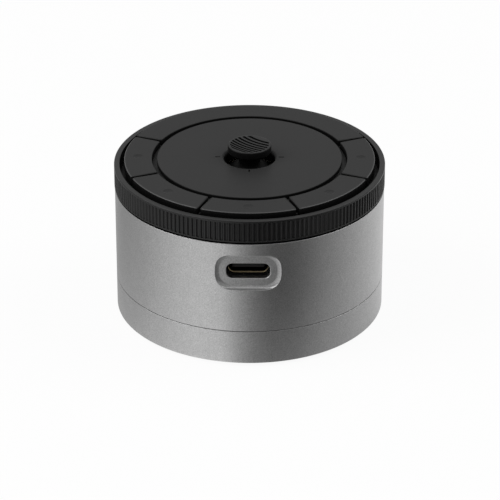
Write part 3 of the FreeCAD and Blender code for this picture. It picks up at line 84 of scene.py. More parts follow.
def take_up(piece):
    """Open one piece in edit mode with nothing picked."""
    choose(piece)
    bpy.ops.object.mode_set(mode="EDIT")
    bpy.ops.mesh.select_mode(type="VERT")
    bpy.ops.mesh.select_all(action="DESELECT")


def pick(kind, test):
    """Pick the open piece's verts, edges or faces whose middle, in millimetres, passes a test."""
    bpy.ops.mesh.select_mode(type={"verts": "VERT", "edges": "EDGE", "faces": "FACE"}[kind])
    bpy.ops.mesh.select_all(action="DESELECT")
    mesh = bmesh.from_edit_mesh(bpy.context.edit_object.data)
    found = 0
    for item in getattr(mesh, kind):
        if kind == "verts":
            middle = item.co / MM
        elif kind == "edges":
            middle = (item.verts[0].co + item.verts[1].co) / (2 * MM)
        else:
            middle = item.calc_center_median() / MM
        if test(middle, item):
            item.select_set(True)
            found += 1
    mesh.select_flush_mode()
    bmesh.update_edit_mesh(bpy.context.edit_object.data)
    return found


def outward():
    """Weld what lies together and turn every face of the open piece outwards."""
    bpy.ops.mesh.select_all(action="SELECT")
    bpy.ops.mesh.remove_doubles(threshold=0.0005 * MM)
    bpy.ops.mesh.normals_make_consistent(inside=False)
    bpy.ops.mesh.select_all(action="DESELECT")


def tell(piece):
    """Print what a finished piece measures."""
    low = [min(v.co[axis] for v in piece.data.vertices) / MM for axis in range(3)]
    high = [max(v.co[axis] for v in piece.data.vertices) / MM for axis in range(3)]
    size = " x ".join(f"{b - a:.2f}" for a, b in zip(low, high))
    print(f"{piece.name}: {size} mm, {len(piece.data.polygons)} faces, foot at {low[2]:.2f}")


# %% [markdown]
# ## A lathe
# Most of this object is round, and was turned in a lathe or moulded in a turned tool. A circle
# could be extruded ring by ring, but then every ring has to be scaled to its own radius. Spinning
# an outline is nearer to how the real parts are made: a point is extruded from corner to corner,
# chosen corners are rounded with a vertex bevel, and the outline is spun round the axis.

# %% Spin an outline


def turned(name, corners, steps=256, closed=True):
    """A solid of revolution from corners given as (radius, height, rounding) in millimetres."""
    put_down()
    bpy.ops.mesh.primitive_plane_add(size=MM)
    piece = bpy.context.object
    piece.name = piece.data.name = name
    take_up(piece)
    bpy.ops.mesh.select_all(action="SELECT")
    bpy.ops.mesh.merge(type="CENTER")
    radius, height, _ = corners[0]
    bpy.ops.transform.translate(value=(radius * MM, 0, height * MM))
    for next_radius, next_height, _ in corners[1:]:
        step = ((next_radius - radius) * MM, 0, (next_height - height) * MM)
        bpy.ops.mesh.extrude_vertices_move(TRANSFORM_OT_translate={"value": step})
        radius, height = next_radius, next_height
    if closed:
        ends = (corners[0], corners[-1])
        pick("verts", lambda at, v: any(math.hypot(at.x - r, at.z - z) < 1e-3 for r, z, _ in ends))
        bpy.ops.mesh.edge_face_add()
    for r, z, rounding in corners:
        if rounding:
            pick("verts", lambda at, v: math.hypot(at.x - r, at.z - z) < 1e-3)
            bpy.ops.mesh.bevel(offset=rounding * MM, segments=4, affect="VERTICES")
    bpy.ops.mesh.select_all(action="SELECT")
    bpy.ops.mesh.spin(steps=steps, angle=2 * math.pi, center=(0, 0, 0), axis=(0, 0, 1))
    outward()
    put_down()
    return piece


def finish_faces(piece, angle=32):
    """Smooth shading that keeps the creases, and normals that follow the larger faces."""
    choose(piece)
    bpy.ops.object.shade_smooth_by_angle(angle=math.radians(angle))
    bpy.ops.object.modifier_add(type="WEIGHTED_NORMAL")
    piece.modifiers[-1].keep_sharp = True
    bpy.ops.object.modifier_apply(modifier=piece.modifiers[-1].name)
    tell(piece)
    put_down()


# %% [markdown]
# ## The drum
# The drum is a bead-blasted aluminium tube with a flange at its top, four long columns inside for
# the base screws and three bosses for the board. Its lower edge is stepped back by a hair, so that
# the seam above the base is a real gap, and stays dark from every side. Under the ring its top has
# a narrow rim with a recess behind it. The recess is painted black, as painted shade, which keeps
# the gap between the two dark as well.

# %% Turn the drum
SEAM, SHELL_TOP = 8.2, 28.9
BODY_RADIUS, BODY_BORE = 28.925, 26.425
SEAM_RADIUS, SEAM_GAP = 28.4, 0.14
RIM_TOP, RIM_INNER = 28.74, 28.7
RECESS_INNER, RECESS_FLOOR = 27.4, RIM_TOP - 0.5
FLANGE_BORE, FLANGE_LOW = 17.5, 27.4
SPIGOT_BORE, SPIGOT_TOP = 27.675, 9.75
drum = turned("drum", [
    (SPIGOT_BORE, SEAM, 0),
    (SEAM_RADIUS, SEAM, 0),
    (SEAM_RADIUS, SEAM + SEAM_GAP, 0),
    (BODY_RADIUS, SEAM + SEAM_GAP, 0.05),
    (BODY_RADIUS, RIM_TOP, 0.06),
    (RIM_INNER + 0.06, RIM_TOP, 0.03),
    (RIM_INNER, RECESS_FLOOR, 0),
    (RECESS_INNER, RECESS_FLOOR, 0),
    (RECESS_INNER, SHELL_TOP, 0.05),
    (FLANGE_BORE, SHELL_TOP, 0.1),
    (FLANGE_BORE, FLANGE_LOW, 0),
    (BODY_BORE, FLANGE_LOW, 0),
    (BODY_BORE, SPIGOT_TOP, 0),
    (SPIGOT_BORE, SPIGOT_TOP, 0),
], steps=384)

# %% [markdown]
# The port sits at the bottom of a dished pocket with a flat floor and hollow walls, as a ball
# cutter leaves them. Its cutter starts as a plane with bevelled corners. It is extruded outwards
# in short steps and widened a little less at each. Its long sides follow a quarter of an ellipse
# and its ends a flatter curve, and a Boolean takes it out of the drum. The drum is round, so the
# pocket is shallow at its ends and a millimetre deep in the middle. A second cutter with rounded
# corners makes the slot for the plug, and flares where it meets the floor.

# %% Cut the pocket and the slot
PORT_HEIGHT = 22.1
POCKET_DEPTH = 1.05


def plate(name, width, height, corner, y, segments=12):
    """A rounded plate that faces -Y at the port's height."""
    put_down()
    bpy.ops.mesh.primitive_plane_add(size=1, location=(0, 0, 0))
    piece = bpy.context.object
    piece.name = piece.data.name = name
    take_up(piece)
    bpy.ops.mesh.select_all(action="SELECT")
    bpy.ops.transform.resize(value=(width * MM, height * MM, 1), center_override=(0, 0, 0))
    bpy.ops.transform.rotate(value=-math.pi / 2, orient_axis="X", center_override=(0, 0, 0))
    bpy.ops.transform.translate(value=(0, y * MM, PORT_HEIGHT * MM))
    bpy.ops.mesh.bevel(offset=corner * MM, segments=segments, affect="VERTICES")
    return piece


def draw_out(distance, widen=1.0, heighten=1.0):
    """Extrude what is picked towards -Y, then scale it about the port's centre."""
    bpy.ops.mesh.extrude_region_move(TRANSFORM_OT_translate={"value": (0, -distance * MM, 0)})
    center = (0, 0, PORT_HEIGHT * MM)
    bpy.ops.transform.resize(value=(widen, 1, heighten), center_override=center)


def combine(piece, other, operation):
    """Apply a Boolean with another piece, and remove that one."""
    choose(piece)
    bpy.ops.object.modifier_add(type="BOOLEAN")
    step = piece.modifiers[-1]
    step.operation, step.solver, step.object = operation, "EXACT", other
    before = len(piece.data.polygons)
    bpy.ops.object.modifier_apply(modifier=step.name)
    if len(piece.data.polygons) == before:
        raise RuntimeError(f"{other.name} changed nothing")
    bpy.data.objects.remove(other)


def cut_away(piece, cutter):
    """Take the cutter's shape out of a piece."""
    take_up(cutter)
    outward()
    combine(piece, cutter, "DIFFERENCE")


FLOOR_WIDTH, FLOOR_HEIGHT, FLOOR_CORNER = 11.9, 6.5, 2.9
END_RUN, END_RISE, END_CURVE = 1.4, 0.4, 1.3
SIDE_RUN = 0.8
SLOT_WIDTH, SLOT_HEIGHT, SLOT_CORNER = 9.1, 3.4, 1.3
SLOT_START, SLOT_FLARE = 4.0, 0.12


def hollow(depth, run, rise, curve=2.0):
    """How far a hollow wall has moved outwards at a depth above the floor. A curve of 2 is a
    quarter of an ellipse, and 1 a straight slope."""
    left = max(0.0, 1.0 - depth / rise)
    return run * (1.0 - left ** curve) ** (1.0 / curve)


pocket = plate("pocket_cutter", FLOOR_WIDTH, FLOOR_HEIGHT, FLOOR_CORNER,
               -(BODY_RADIUS - POCKET_DEPTH), segments=16)
width, height, reached = FLOOR_WIDTH, FLOOR_HEIGHT, 0.0
for depth in (0.02, 0.06, 0.12, 0.2, 0.3, 0.45, 0.7, POCKET_DEPTH, 2 * POCKET_DEPTH):
    next_width = FLOOR_WIDTH + 2 * hollow(depth, END_RUN, END_RISE, curve=END_CURVE)
    next_height = FLOOR_HEIGHT + 2 * hollow(depth, SIDE_RUN, POCKET_DEPTH)
    draw_out(depth - reached, widen=next_width / width, heighten=next_height / height)
    width, height, reached = next_width, next_height, depth
cut_away(drum, pocket)
slot = plate("slot_cutter", SLOT_WIDTH, SLOT_HEIGHT, SLOT_CORNER, -(BODY_RADIUS - SLOT_START))
draw_out(SLOT_START - POCKET_DEPTH - 0.1)
draw_out(SLOT_FLARE, widen=1 + 2 * SLOT_FLARE / SLOT_WIDTH, heighten=1 + 2 * SLOT_FLARE / SLOT_HEIGHT)
draw_out(0.4)
cut_away(drum, slot)

# %% [markdown]
# The columns and bosses are simple tubes that nobody sees until the drum is off its base, so each
# is turned once, set out and joined on. Every copy has a mesh of its own.

# %% Add the columns and bosses


def tube(name, radius, bore, low, high):
    """An upright tube on the axis."""
    return turned(name, [(bore, low, 0), (radius, low, 0.1), (radius, high, 0), (bore, high, 0)],
                  steps=32)


def set_round(piece, place, turns):
    """Copies of a piece at a radius, one for each turn in degrees; the piece itself is used up."""
    copies = []
    for turn in turns:
        copy = piece.copy()
        copy.data = piece.data.copy()
        bpy.context.scene.collection.objects.link(copy)
        choose(copy)
        angle = math.radians(turn)
        copy.location = (place * MM * math.cos(angle), place * MM * math.sin(angle), 0)
        bpy.ops.object.transform_apply(location=True)
        copies.append(copy)
    bpy.data.objects.remove(piece)
    return copies


def join(piece, others):
    """Make several pieces one, keeping the first one's name."""
    choose(piece)
    for other in others:
        other.select_set(True)
    bpy.ops.object.join()
    put_down()
    return piece


SCREW_BORE, POST_TOP = 1.05, FLANGE_LOW + 0.05
COLUMN_PLACE, BOSS_PLACE = 23.3, 20.5
columns = set_round(tube("column", 2.6, SCREW_BORE, 3.0, POST_TOP), COLUMN_PLACE, (45, 135, 225, 315))
bosses = set_round(tube("boss", 2.2, SCREW_BORE, 20.47, POST_TOP), BOSS_PLACE, (0, 90, 180))
join(drum, columns + bosses)
finish_faces(drum, angle=24)
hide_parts("body_shell")
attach(drum, "housing")

# %% [markdown]
# ## The base and its foot
# The base is a shallow cup of the same metal. It closes the drum from below, and its recess holds
# a rubber disc that stands half a millimetre proud. Both are plain turned shapes with a broken
# edge; the cup's lower edge is a real chamfer that catches the light above the desk.

# %% Turn the base and the foot
drum_base = turned("drum_base", [
    (0, 1.0, 0),
    (26.3, 1.0, 0),
    (26.3, 0.5, 0.08),
    (28.475, 0.5, 0.12),
    (BODY_RADIUS, 0.95, 0.1),
    (BODY_RADIUS, SEAM, 0.05),
    (27.625, SEAM, 0),
    (27.625, 9.7, 0.1),
    (BODY_BORE, 9.7, 0.1),
    (BODY_BORE, 3.0, 0),
    (0, 3.0, 0),
], steps=384, closed=False)
finish_faces(drum_base)
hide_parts("base_cup")
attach(drum_base, "housing")

rubber_foot = turned("rubber_foot", [
    (0, 0, 0), (25.6, 0, 0.2), (26.0, 0.4, 0.15), (26.0, 1.0, 0.05), (0, 1.0, 0),
], closed=False)
finish_faces(rubber_foot)
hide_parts("foot_pad")
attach(rubber_foot, "housing")

# %% [markdown]
# ## The knurled ring
# The grip is 180 narrow ribs with wide, sloping grooves between them, cut short of both rims. One
# rib could be modelled and copied, but the ring is then 180 loose parts. It is simpler to spin
# the ring in 180 steps, one for each groove: the outer wall then has one tall face a groove, and
# insetting all of them, each on its own, makes every rib and groove in two strokes. The grooves'
# lower ends are then pushed down, so that they stop at a ledge instead of a slope.

# %% Spin the ring and press in its grooves
RING_LOW, RING_TOP = 29.2, 34.1
RING_RADIUS = 29.0
GROOVE_LOW, GROOVE_HIGH = RING_LOW + 0.16, RING_TOP - 0.35
GROOVE_MARGIN, GROOVE_SLOPE, GROOVE_DEPTH, LEDGE_DROP = 0.12, 0.24, 0.27, 0.2
knurled_ring = turned("knurled_ring", [
    (26.6, RING_LOW, 0),
    (RING_RADIUS, RING_LOW, 0.06),
    (RING_RADIUS, GROOVE_LOW - 0.06, 0),
    (RING_RADIUS, GROOVE_HIGH + 0.06, 0),
    (RING_RADIUS, RING_TOP, 0.16),
    (27.8, RING_TOP, 0.12),
    (27.8, 29.95, 0),
    (26.6, 29.95, 0),
], steps=180)
take_up(knurled_ring)
grooves = pick("faces", lambda at, f: f.calc_area() > 3 * MM * MM and math.hypot(at.x, at.y) > 28.9)
print("grooves:", grooves)
bpy.ops.mesh.inset(thickness=GROOVE_MARGIN * MM, depth=0, use_individual=True)
bpy.ops.mesh.inset(thickness=GROOVE_SLOPE * MM, depth=-GROOVE_DEPTH * MM, use_individual=True)
pick("verts", lambda at, v: at.z < GROOVE_LOW + 0.4 and 28.5 < math.hypot(at.x, at.y) < 28.8)
bpy.ops.transform.translate(value=(0, 0, -LEDGE_DROP * MM))
finish_faces(knurled_ring, angle=25)
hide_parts("dial_ring")
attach(knurled_ring, "dial")

# %% [markdown]
# ## The keys
# A key is a slice of a ring, moulded hollow, with rounded corners and a shallow round dimple for
# the fingertip. Its ends run parallel to the rays that divide the deck, so that the gap between
# two keys is equally wide all along. A ring is spun and bisected twice for that slice. The hollow
# comes from the lower face, inset by the wall's thickness and pushed up, and only then are the
# corners and the top edge bevelled.

# %% Slice a ring
DECK_TOP = 35.0
KEY_INNER, KEY_OUTER = 20.85, 26.8
KEY_MIDDLE = (KEY_INNER + KEY_OUTER) / 2
KEY_LOW, KEY_CEILING = 32.95, 34.0
KEY_WALL, KEY_CORNER, KEY_EDGE = 0.9, 0.6, 0.2
HALF_GAP, HALF_SPAN = 0.325, 22.5
PIN_FOOT, PIN_TURN = 31.6, 13


def slice_of_ring(name, inner, outer, low, high, half_turn, side):
    """A block between two radii, centred on +X, that ends a distance short of the rays at
    half_turn degrees to either side."""
    piece = turned(name, [(inner, low, 0), (outer, low, 0), (outer, high, 0), (inner, high, 0)],
                   steps=360)
    take_up(piece)
    for hand in (1, -1):
        turn = math.radians(half_turn)
        across = (-math.sin(turn), hand * math.cos(turn), 0)
        bpy.ops.mesh.select_all(action="SELECT")
        bpy.ops.mesh.bisect(plane_co=[-part * side * MM for part in across], plane_no=across,
                            use_fill=True, clear_outer=True)
    outward()
    return piece


def is_upright(edge):
    """True for an edge along Z."""
    run = edge.verts[0].co - edge.verts[1].co
    return abs(run.z) > 0.5 * run.length


def key_shape(name, low, half_turn):
    """The hollow cap that the keys and the plain arc share."""
    piece = slice_of_ring(name, KEY_INNER, KEY_OUTER, low, DECK_TOP, half_turn, HALF_GAP)
    pick("faces", lambda at, f: f.normal.z < -0.5)
    bpy.ops.mesh.inset(thickness=KEY_WALL * MM)
    bpy.ops.mesh.extrude_region_move(
        TRANSFORM_OT_translate={"value": (0, 0, (KEY_CEILING - low) * MM)})
    pick("edges", lambda at, e: is_upright(e) and abs(at.z - (low + DECK_TOP) / 2) < 0.05
         and e.calc_face_angle(0) > 1)
    bpy.ops.mesh.bevel(offset=KEY_CORNER * MM, segments=6)
    pick("edges", lambda at, e: abs(at.z - DECK_TOP) < 1e-3 and e.calc_face_angle(0) > 0.5)
    bpy.ops.mesh.bevel(offset=KEY_EDGE * MM, segments=5)
    outward()
    put_down()
    return piece


def pins(turns):
    """Guide pins under a key, at turns in degrees from its middle."""
    pin = turned("pin", [(0, PIN_FOOT, 0), (0.6, PIN_FOOT, 0.12), (0.6, KEY_CEILING + 0.05, 0),
                         (0, KEY_CEILING + 0.05, 0)], steps=24, closed=False)
    return set_round(pin, KEY_MIDDLE, turns)


key = key_shape("key_pattern", KEY_LOW, HALF_SPAN)

# %% [markdown]
# The dimple is the print of a ball. A sphere is cut out of the key, 2.2 mm wide where it meets the
# top, because a bevelled or inset hole would have a flat bottom. Its rim is marked sharp, so that
# the shading of the flat top doesn't run into it. Below, the key gets two guide pins, the post
# that pushes its switch and the lip that keeps it in the deck. It is modelled once and then turned
# to its five places.

# %% Press in the dimple and set out the five keys
DIMPLE_WIDTH, DIMPLE_DEPTH = 2.2, 0.2
ball_radius = ((DIMPLE_WIDTH / 2) ** 2 / DIMPLE_DEPTH + DIMPLE_DEPTH) / 2
put_down()
bpy.ops.mesh.primitive_uv_sphere_add(
    segments=64, ring_count=64, radius=ball_radius * MM,
    location=(KEY_MIDDLE * MM, 0, (DECK_TOP - DIMPLE_DEPTH + ball_radius) * MM))
ball = bpy.context.object
bpy.ops.object.transform_apply(location=True)
cut_away(key, ball)
take_up(key)
rim = pick("edges", lambda at, e: abs(at.z - DECK_TOP) < 1e-3
           and abs(math.hypot(at.x - KEY_MIDDLE, at.y) - DIMPLE_WIDTH / 2) < 0.02)
bpy.ops.mesh.mark_sharp()
put_down()
print("edges round the dimple:", rim)

post = turned("post", [(0, 33.35, 0), (1.1, 33.35, 0.1), (1.1, KEY_CEILING + 0.05, 0),
                       (0, KEY_CEILING + 0.05, 0)], steps=32, closed=False)
lip = slice_of_ring("lip", KEY_INNER - 0.9, KEY_INNER + 0.45, KEY_LOW, KEY_LOW + 0.5, HALF_SPAN, 2.0)
put_down()
join(key, pins((-PIN_TURN, PIN_TURN)) + set_round(post, KEY_MIDDLE, (0,)) + [lip])

KEY_PLACES = {"left": -180, "front_left": -135, "front": -90, "front_right": -45, "right": 0}
for side, turn in KEY_PLACES.items():
    cap = key.copy()
    cap.data = key.data.copy()
    cap.name = cap.data.name = "keycap_" + side
    bpy.context.scene.collection.objects.link(cap)
    choose(cap)
    cap.rotation_euler.z = math.radians(turn)
    bpy.ops.object.transform_apply(rotation=True)
    finish_faces(cap, angle=20)
    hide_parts("key_" + side)
    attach(cap, side + "_key")
bpy.data.objects.remove(key)

# %% [markdown]
# ## The plain arc
# Behind the keys lies one long cap of the same shape, three keys long. It does not move: it
# stands on the deck board, so its walls reach further down.

# %% Slice the plain arc
back_arc = key_shape("back_arc", 32.45, 3 * HALF_SPAN)
join(back_arc, pins([step * 2 * HALF_SPAN + hand * PIN_TURN for step in (-1, 0, 1) for hand in (-1, 1)]))
choose(back_arc)
back_arc.rotation_euler.z = math.radians(90)
bpy.ops.object.transform_apply(rotation=True)
finish_faces(back_arc, angle=20)
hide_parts("rear_cover")
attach(back_arc, "housing")

# %% [markdown]
# ## The middle of the deck
# A thin web holds the keys down by their lips. Its rim is the floor of the round groove, and six
# lower ribs on it close the foot of the gaps between the keys. The disc with the well lies on it. The
# well's edge is rounded widely, because a thumb slides over it, and four fine ticks are cut round
# it with small blocks whose ends are bevelled round.

# %% Turn the web and the disc
DISC_SEAT, RIB_TOP = 34.2, 33.7
WELL_RADIUS, DISC_RADIUS = 5.35, 19.8
TICK_START, TICK_END, TICK_HALF, TICK_DEPTH = 6.225, 7.375, 0.16, 0.4


def block(name, low, high, rounding, segments=2):
    """A block between two corners, with all its edges rounded."""
    put_down()
    bpy.ops.mesh.primitive_cube_add(size=1)
    piece = bpy.context.object
    piece.name = piece.data.name = name
    take_up(piece)
    bpy.ops.mesh.select_all(action="SELECT")
    bpy.ops.transform.resize(value=[(b - a) * MM for a, b in zip(low, high)],
                             center_override=(0, 0, 0))
    bpy.ops.transform.translate(value=[(a + b) / 2 * MM for a, b in zip(low, high)])
    bpy.ops.mesh.bevel(offset=rounding * MM, segments=segments)
    outward()
    put_down()
    return piece


def turn_to(piece, degrees):
    """Turn a piece about the dial's axis and keep the turn in its mesh."""
    choose(piece)
    piece.rotation_euler.z = math.radians(degrees)
    bpy.ops.object.transform_apply(rotation=True)
    return piece


web = turned("groove_web", [
    (6.3, 33.4, 0), (17.0, 33.4, 0), (17.0, 32.45, 0), (19.75, 32.45, 0), (19.75, 33.6, 0),
    (20.75, 33.6, 0.05), (20.75, 33.8, 0.05), (19.7, 33.8, 0), (19.7, DISC_SEAT, 0),
    (6.3, DISC_SEAT, 0),
], steps=360)
ribs = [turn_to(block(f"rib_{turn}", (18.375, -0.18, 32.46), (26.5, 0.18, RIB_TOP), 0.05), turn)
        for turn in (-202.5, -157.5, -112.5, -67.5, -22.5, 22.5)]
join(web, ribs)
finish_faces(web)
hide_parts("key_retainer")
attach(web, "housing")

disc = turned("deck_disc", [
    (WELL_RADIUS, 32.6, 0), (6.25, 32.6, 0), (6.25, DISC_SEAT, 0), (DISC_RADIUS, DISC_SEAT, 0),
    (DISC_RADIUS, DECK_TOP, 0.18), (WELL_RADIUS, DECK_TOP, 0.75),
], steps=360)
for turn in (0, 90, 180, 270):
    tick = block("tick", (TICK_START, -TICK_HALF, DECK_TOP - TICK_DEPTH),
                 (TICK_END, TICK_HALF, DECK_TOP + TICK_DEPTH), 0.06)
    cut_away(disc, turn_to(tick, turn))
finish_faces(disc)
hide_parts("centre_disc")
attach(disc, "housing")

# %% [markdown]
# ## The stick
# The stick's skirt is part of a ball about the point it tilts on, so that its gap in the well
# stays the same at every tilt. The cap above it is a small mushroom. Its top has eight ripples
# inside a plain border, which lie closer and closer together towards the thumb. Their common
# centre lies far off the cap: rings are spun there, kept only where they lie inside the border by
# a Boolean intersection, and cut out of the cap.

# %% Turn the skirt and the cap
PIVOT = 28.0
BALL, BALL_INSIDE = 6.4, 5.8
SKIRT_FOOT = 31.6
CAP_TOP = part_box("stick_cap")[1].z / MM
CAP_LOW = CAP_TOP - 2.0
NECK_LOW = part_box("stick_cap")[0].z / MM


def ball_line(radius, start, end, count=14, centre=PIVOT):
    """Points on a ball on the axis, from one height to another."""
    heights = [start + (end - start) * index / (count - 1) for index in range(count)]
    return [(math.sqrt(max(0.0, radius ** 2 - (height - centre) ** 2)), height, 0)
            for height in heights]


skirt = turned("skirt_dome", [(1.55, NECK_LOW, 0)] + ball_line(BALL, NECK_LOW, SKIRT_FOOT)
               + ball_line(BALL_INSIDE, SKIRT_FOOT, NECK_LOW - 0.6) + [(1.55, NECK_LOW - 0.6, 0)],
               steps=128)
finish_faces(skirt)
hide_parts("stick_dome")
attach(skirt, "stick_top")

thumb_cap = turned("thumb_cap", [
    (0, CAP_TOP - 1.4, 0), (1.55, CAP_TOP - 1.4, 0), (1.55, NECK_LOW, 0), (2.3, NECK_LOW, 0),
    (2.3, CAP_LOW, 0.2), (4.15, CAP_LOW, 0.15), (4.65, CAP_LOW + 0.5, 0.15), (4.65, CAP_TOP, 0.22),
    (0, CAP_TOP, 0),
], steps=192, closed=False)

RIPPLE_CENTRE = (8.5, 10.3)
RIPPLE_DEPTH, RIPPLE_SHARE, RIPPLE_CLOSER = 0.45, 0.24, 0.085
ripples = []
radius, pitch = 10.6, 1.17
for index in range(8):
    half = RIPPLE_SHARE * pitch
    ring = turned(f"ripple_{index}", [
        (radius - half - 0.08, CAP_TOP + 0.1, 0), (radius - half, CAP_TOP - RIPPLE_DEPTH, 0.08),
        (radius + half, CAP_TOP - RIPPLE_DEPTH, 0.08), (radius + half + 0.08, CAP_TOP + 0.1, 0),
    ], steps=320)
    choose(ring)
    ring.location = (RIPPLE_CENTRE[0] * MM, RIPPLE_CENTRE[1] * MM, 0)
    bpy.ops.object.transform_apply(location=True)
    ripples.append(ring)
    radius += pitch
    pitch -= RIPPLE_CLOSER
cutter = join(ripples[0], ripples[1:])
print("ripples end at a pitch of", round(pitch, 2), "mm")
border = turned("border", [(0, CAP_TOP - 1, 0), (4.15, CAP_TOP - 1, 0), (4.15, CAP_TOP + 1, 0),
                           (0, CAP_TOP + 1, 0)], steps=128, closed=False)
combine(cutter, border, "INTERSECT")
cut_away(thumb_cap, cutter)
finish_faces(thumb_cap)
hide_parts("stick_cap")
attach(thumb_cap, "stick_top")

# %% [markdown]
# ## The snap dome
# Deep inside, the stick's shaft stands over a small disc of thin domed steel, which clicks flat when
# the stick is pressed. It is turned from two arcs, like the skirt.

# %% Turn the snap dome
dome_low, dome_high = [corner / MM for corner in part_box("snap_dome")]
DOME_WALL, PRESS_TRAVEL = 0.15, 0.25
dome_rise = dome_high.z - dome_low.z
dome_ball = (dome_high.x ** 2 + dome_rise ** 2) / (2 * dome_rise)
dome_centre = dome_high.z - dome_ball
dome = turned("click_dome",
              ball_line(dome_ball, dome_high.z, dome_low.z, 9, dome_centre)
              + ball_line(dome_ball - DOME_WALL, dome_low.z, dome_high.z - DOME_WALL, 9, dome_centre),
              steps=48, closed=False)
finish_faces(dome)
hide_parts("snap_dome")
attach(dome, "housing")
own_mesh(dome)

# %% [markdown]
# ## The port
# Behind the slot sits the receptacle: a drawn steel sleeve with round ends, a moulded plug that
# closes its back, and a thin tongue with a row of gold springs on either face. The sleeve is a
# rounded plate that is inset twice, and whose middle is taken out before it is drawn towards the
# slot. Pushing its innermost line back makes the lip's chamfer, which leads the plug in. The sleeve
# is painted near black, as painted shade inside the slot, and just behind the lip a band is painted
# light, as a painted lit strip, so it is drawn in two lengths, and the inner faces of the second
# get a material slot of their own.

# %% Draw the sleeve, the tongue and its springs
SLEEVE_BACK, SLEEVE_DEPTH = 19.075, 7.3
CONTACT_COUNT, CONTACT_PITCH, TONGUE_HALF = 12, 0.5, 0.35
PAINTED_LIGHT_BAND, LIP_CHAMFER = 1.1, 0.5
sleeve = plate("port_sleeve", 8.94, 3.26, 1.629, -SLEEVE_BACK)
pick("faces", lambda at, f: True)
bpy.ops.mesh.inset(thickness=0.2 * MM)
bpy.ops.mesh.inset(thickness=0.1 * MM)
bpy.ops.mesh.delete(type="FACE")
pick("faces", lambda at, f: True)
draw_out(SLEEVE_DEPTH - PAINTED_LIGHT_BAND)
draw_out(PAINTED_LIGHT_BAND)
pick("verts", lambda at, v: abs(at.y + SLEEVE_BACK + SLEEVE_DEPTH) < 1e-3
     and math.hypot(max(abs(at.x) - 2.84, 0), at.z - PORT_HEIGHT) < 1.38)
bpy.ops.transform.translate(value=(0, LIP_CHAMFER * MM, 0))
outward()
finish_faces(sleeve)
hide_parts("port_shell")
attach(sleeve, "housing")

insulator = plate("port_blade", 8.24, 2.56, 1.279, -SLEEVE_BACK)
pick("faces", lambda at, f: True)
draw_out(1.5)
outward()
blade = block("blade", (-3.345, -25.425, PORT_HEIGHT - TONGUE_HALF),
              (3.345, -19.1, PORT_HEIGHT + TONGUE_HALF), 0.1)
join(insulator, [blade])
finish_faces(insulator)
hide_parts("port_tongue")
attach(insulator, "housing")

strips = []
for low in (PORT_HEIGHT + TONGUE_HALF, PORT_HEIGHT - TONGUE_HALF - 0.08):
    for index in range(CONTACT_COUNT):
        x = (index - (CONTACT_COUNT - 1) / 2) * CONTACT_PITCH
        strips.append(block("strip", (x - 0.125, -24.925, low), (x + 0.125, -20.925, low + 0.08),
                            0.02, segments=1))
springs = join(strips[0], strips[1:])
springs.name = springs.data.name = "port_springs"
finish_faces(springs)
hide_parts("port_contacts")
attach(springs, "housing")

# %% [markdown]
# ## Shared effects
# Three effects turn up in many finishes, so each is a node group with named inputs. The grain
# gives a fine height, a fine tone and slow patches. The soft edges round every crease a little in
# the shading and tell where an edge is, so that it can look worn bright and carry a painted
# highlight. The dust lies only on faces that look up, and the group also gives a mask of those
# faces alone, which paints them lighter as painted top light. All of them read Object coordinates,
# which are in metres here.

# %% Build the node groups


def place(tree, kind, inputs=None, **settings):
    """Add a shader node; a value of inputs is a number, a colour or another node's socket."""
    step = tree.nodes.new("ShaderNode" + kind)
    for name, value in settings.items():
        setattr(step, name, value)
    for name, value in (inputs or {}).items():
        if isinstance(value, bpy.types.NodeSocket):
            tree.links.new(value, step.inputs[name])
        else:
            step.inputs[name].default_value = value
    return step


def calc(tree, operation, *values, clamp=False):
    """The result of a Math node."""
    return place(tree, "Math", dict(enumerate(values)), operation=operation,
                 use_clamp=clamp).outputs[0]


def new_group(name, inputs, outputs):
    """An empty node group with named sockets, given as name, kind and first value."""
    group = bpy.data.node_groups.new(name, "ShaderNodeTree")
    for socket, kind, value in inputs:
        made = group.interface.new_socket(socket, in_out="INPUT", socket_type="NodeSocket" + kind)
        made.default_value = value
    for socket, kind in outputs:
        group.interface.new_socket(socket, in_out="OUTPUT", socket_type="NodeSocket" + kind)
    source = group.nodes.new("NodeGroupInput")
    sink = group.nodes.new("NodeGroupOutput")
    return group, source.outputs, sink.inputs


def fine_grain():
    """Grain of a size in millimetres, stretched along an axis if wanted, and slow patches."""
    group, given, made = new_group(
        "fine_grain", [("Size", "Float", 0.1), ("Stretch", "Vector", (1, 1, 1))],
        [("Height", "Float"), ("Tone", "Float"), ("Patches", "Float")])
    where = place(group, "TexCoord").outputs["Object"]
    drawn = place(group, "VectorMath", {0: where, 1: given["Stretch"]}, operation="MULTIPLY")
    scale = calc(group, "DIVIDE", 1 / MM, given["Size"])
    grain = place(group, "TexNoise", {"Vector": drawn.outputs[0], "Scale": scale, "Detail": 2.0,
                                      "Roughness": 0.55})
    slow = calc(group, "DIVIDE", scale, 9.0)
    cloud = place(group, "TexNoise", {"Vector": drawn.outputs[0], "Scale": slow, "Detail": 3.0})
    patch = place(group, "TexNoise", {"Vector": where, "Scale": 0.12 / MM, "Detail": 2.0})
    group.links.new(grain.outputs["Fac"], made["Height"])
    clouded = calc(group, "MULTIPLY_ADD", cloud.outputs["Fac"], 0.35, -1.075)
    tone = calc(group, "MULTIPLY_ADD", grain.outputs["Fac"], 2.8, clouded, clamp=True)
    group.links.new(tone, made["Tone"])
    group.links.new(patch.outputs["Fac"], made["Patches"])
    return group


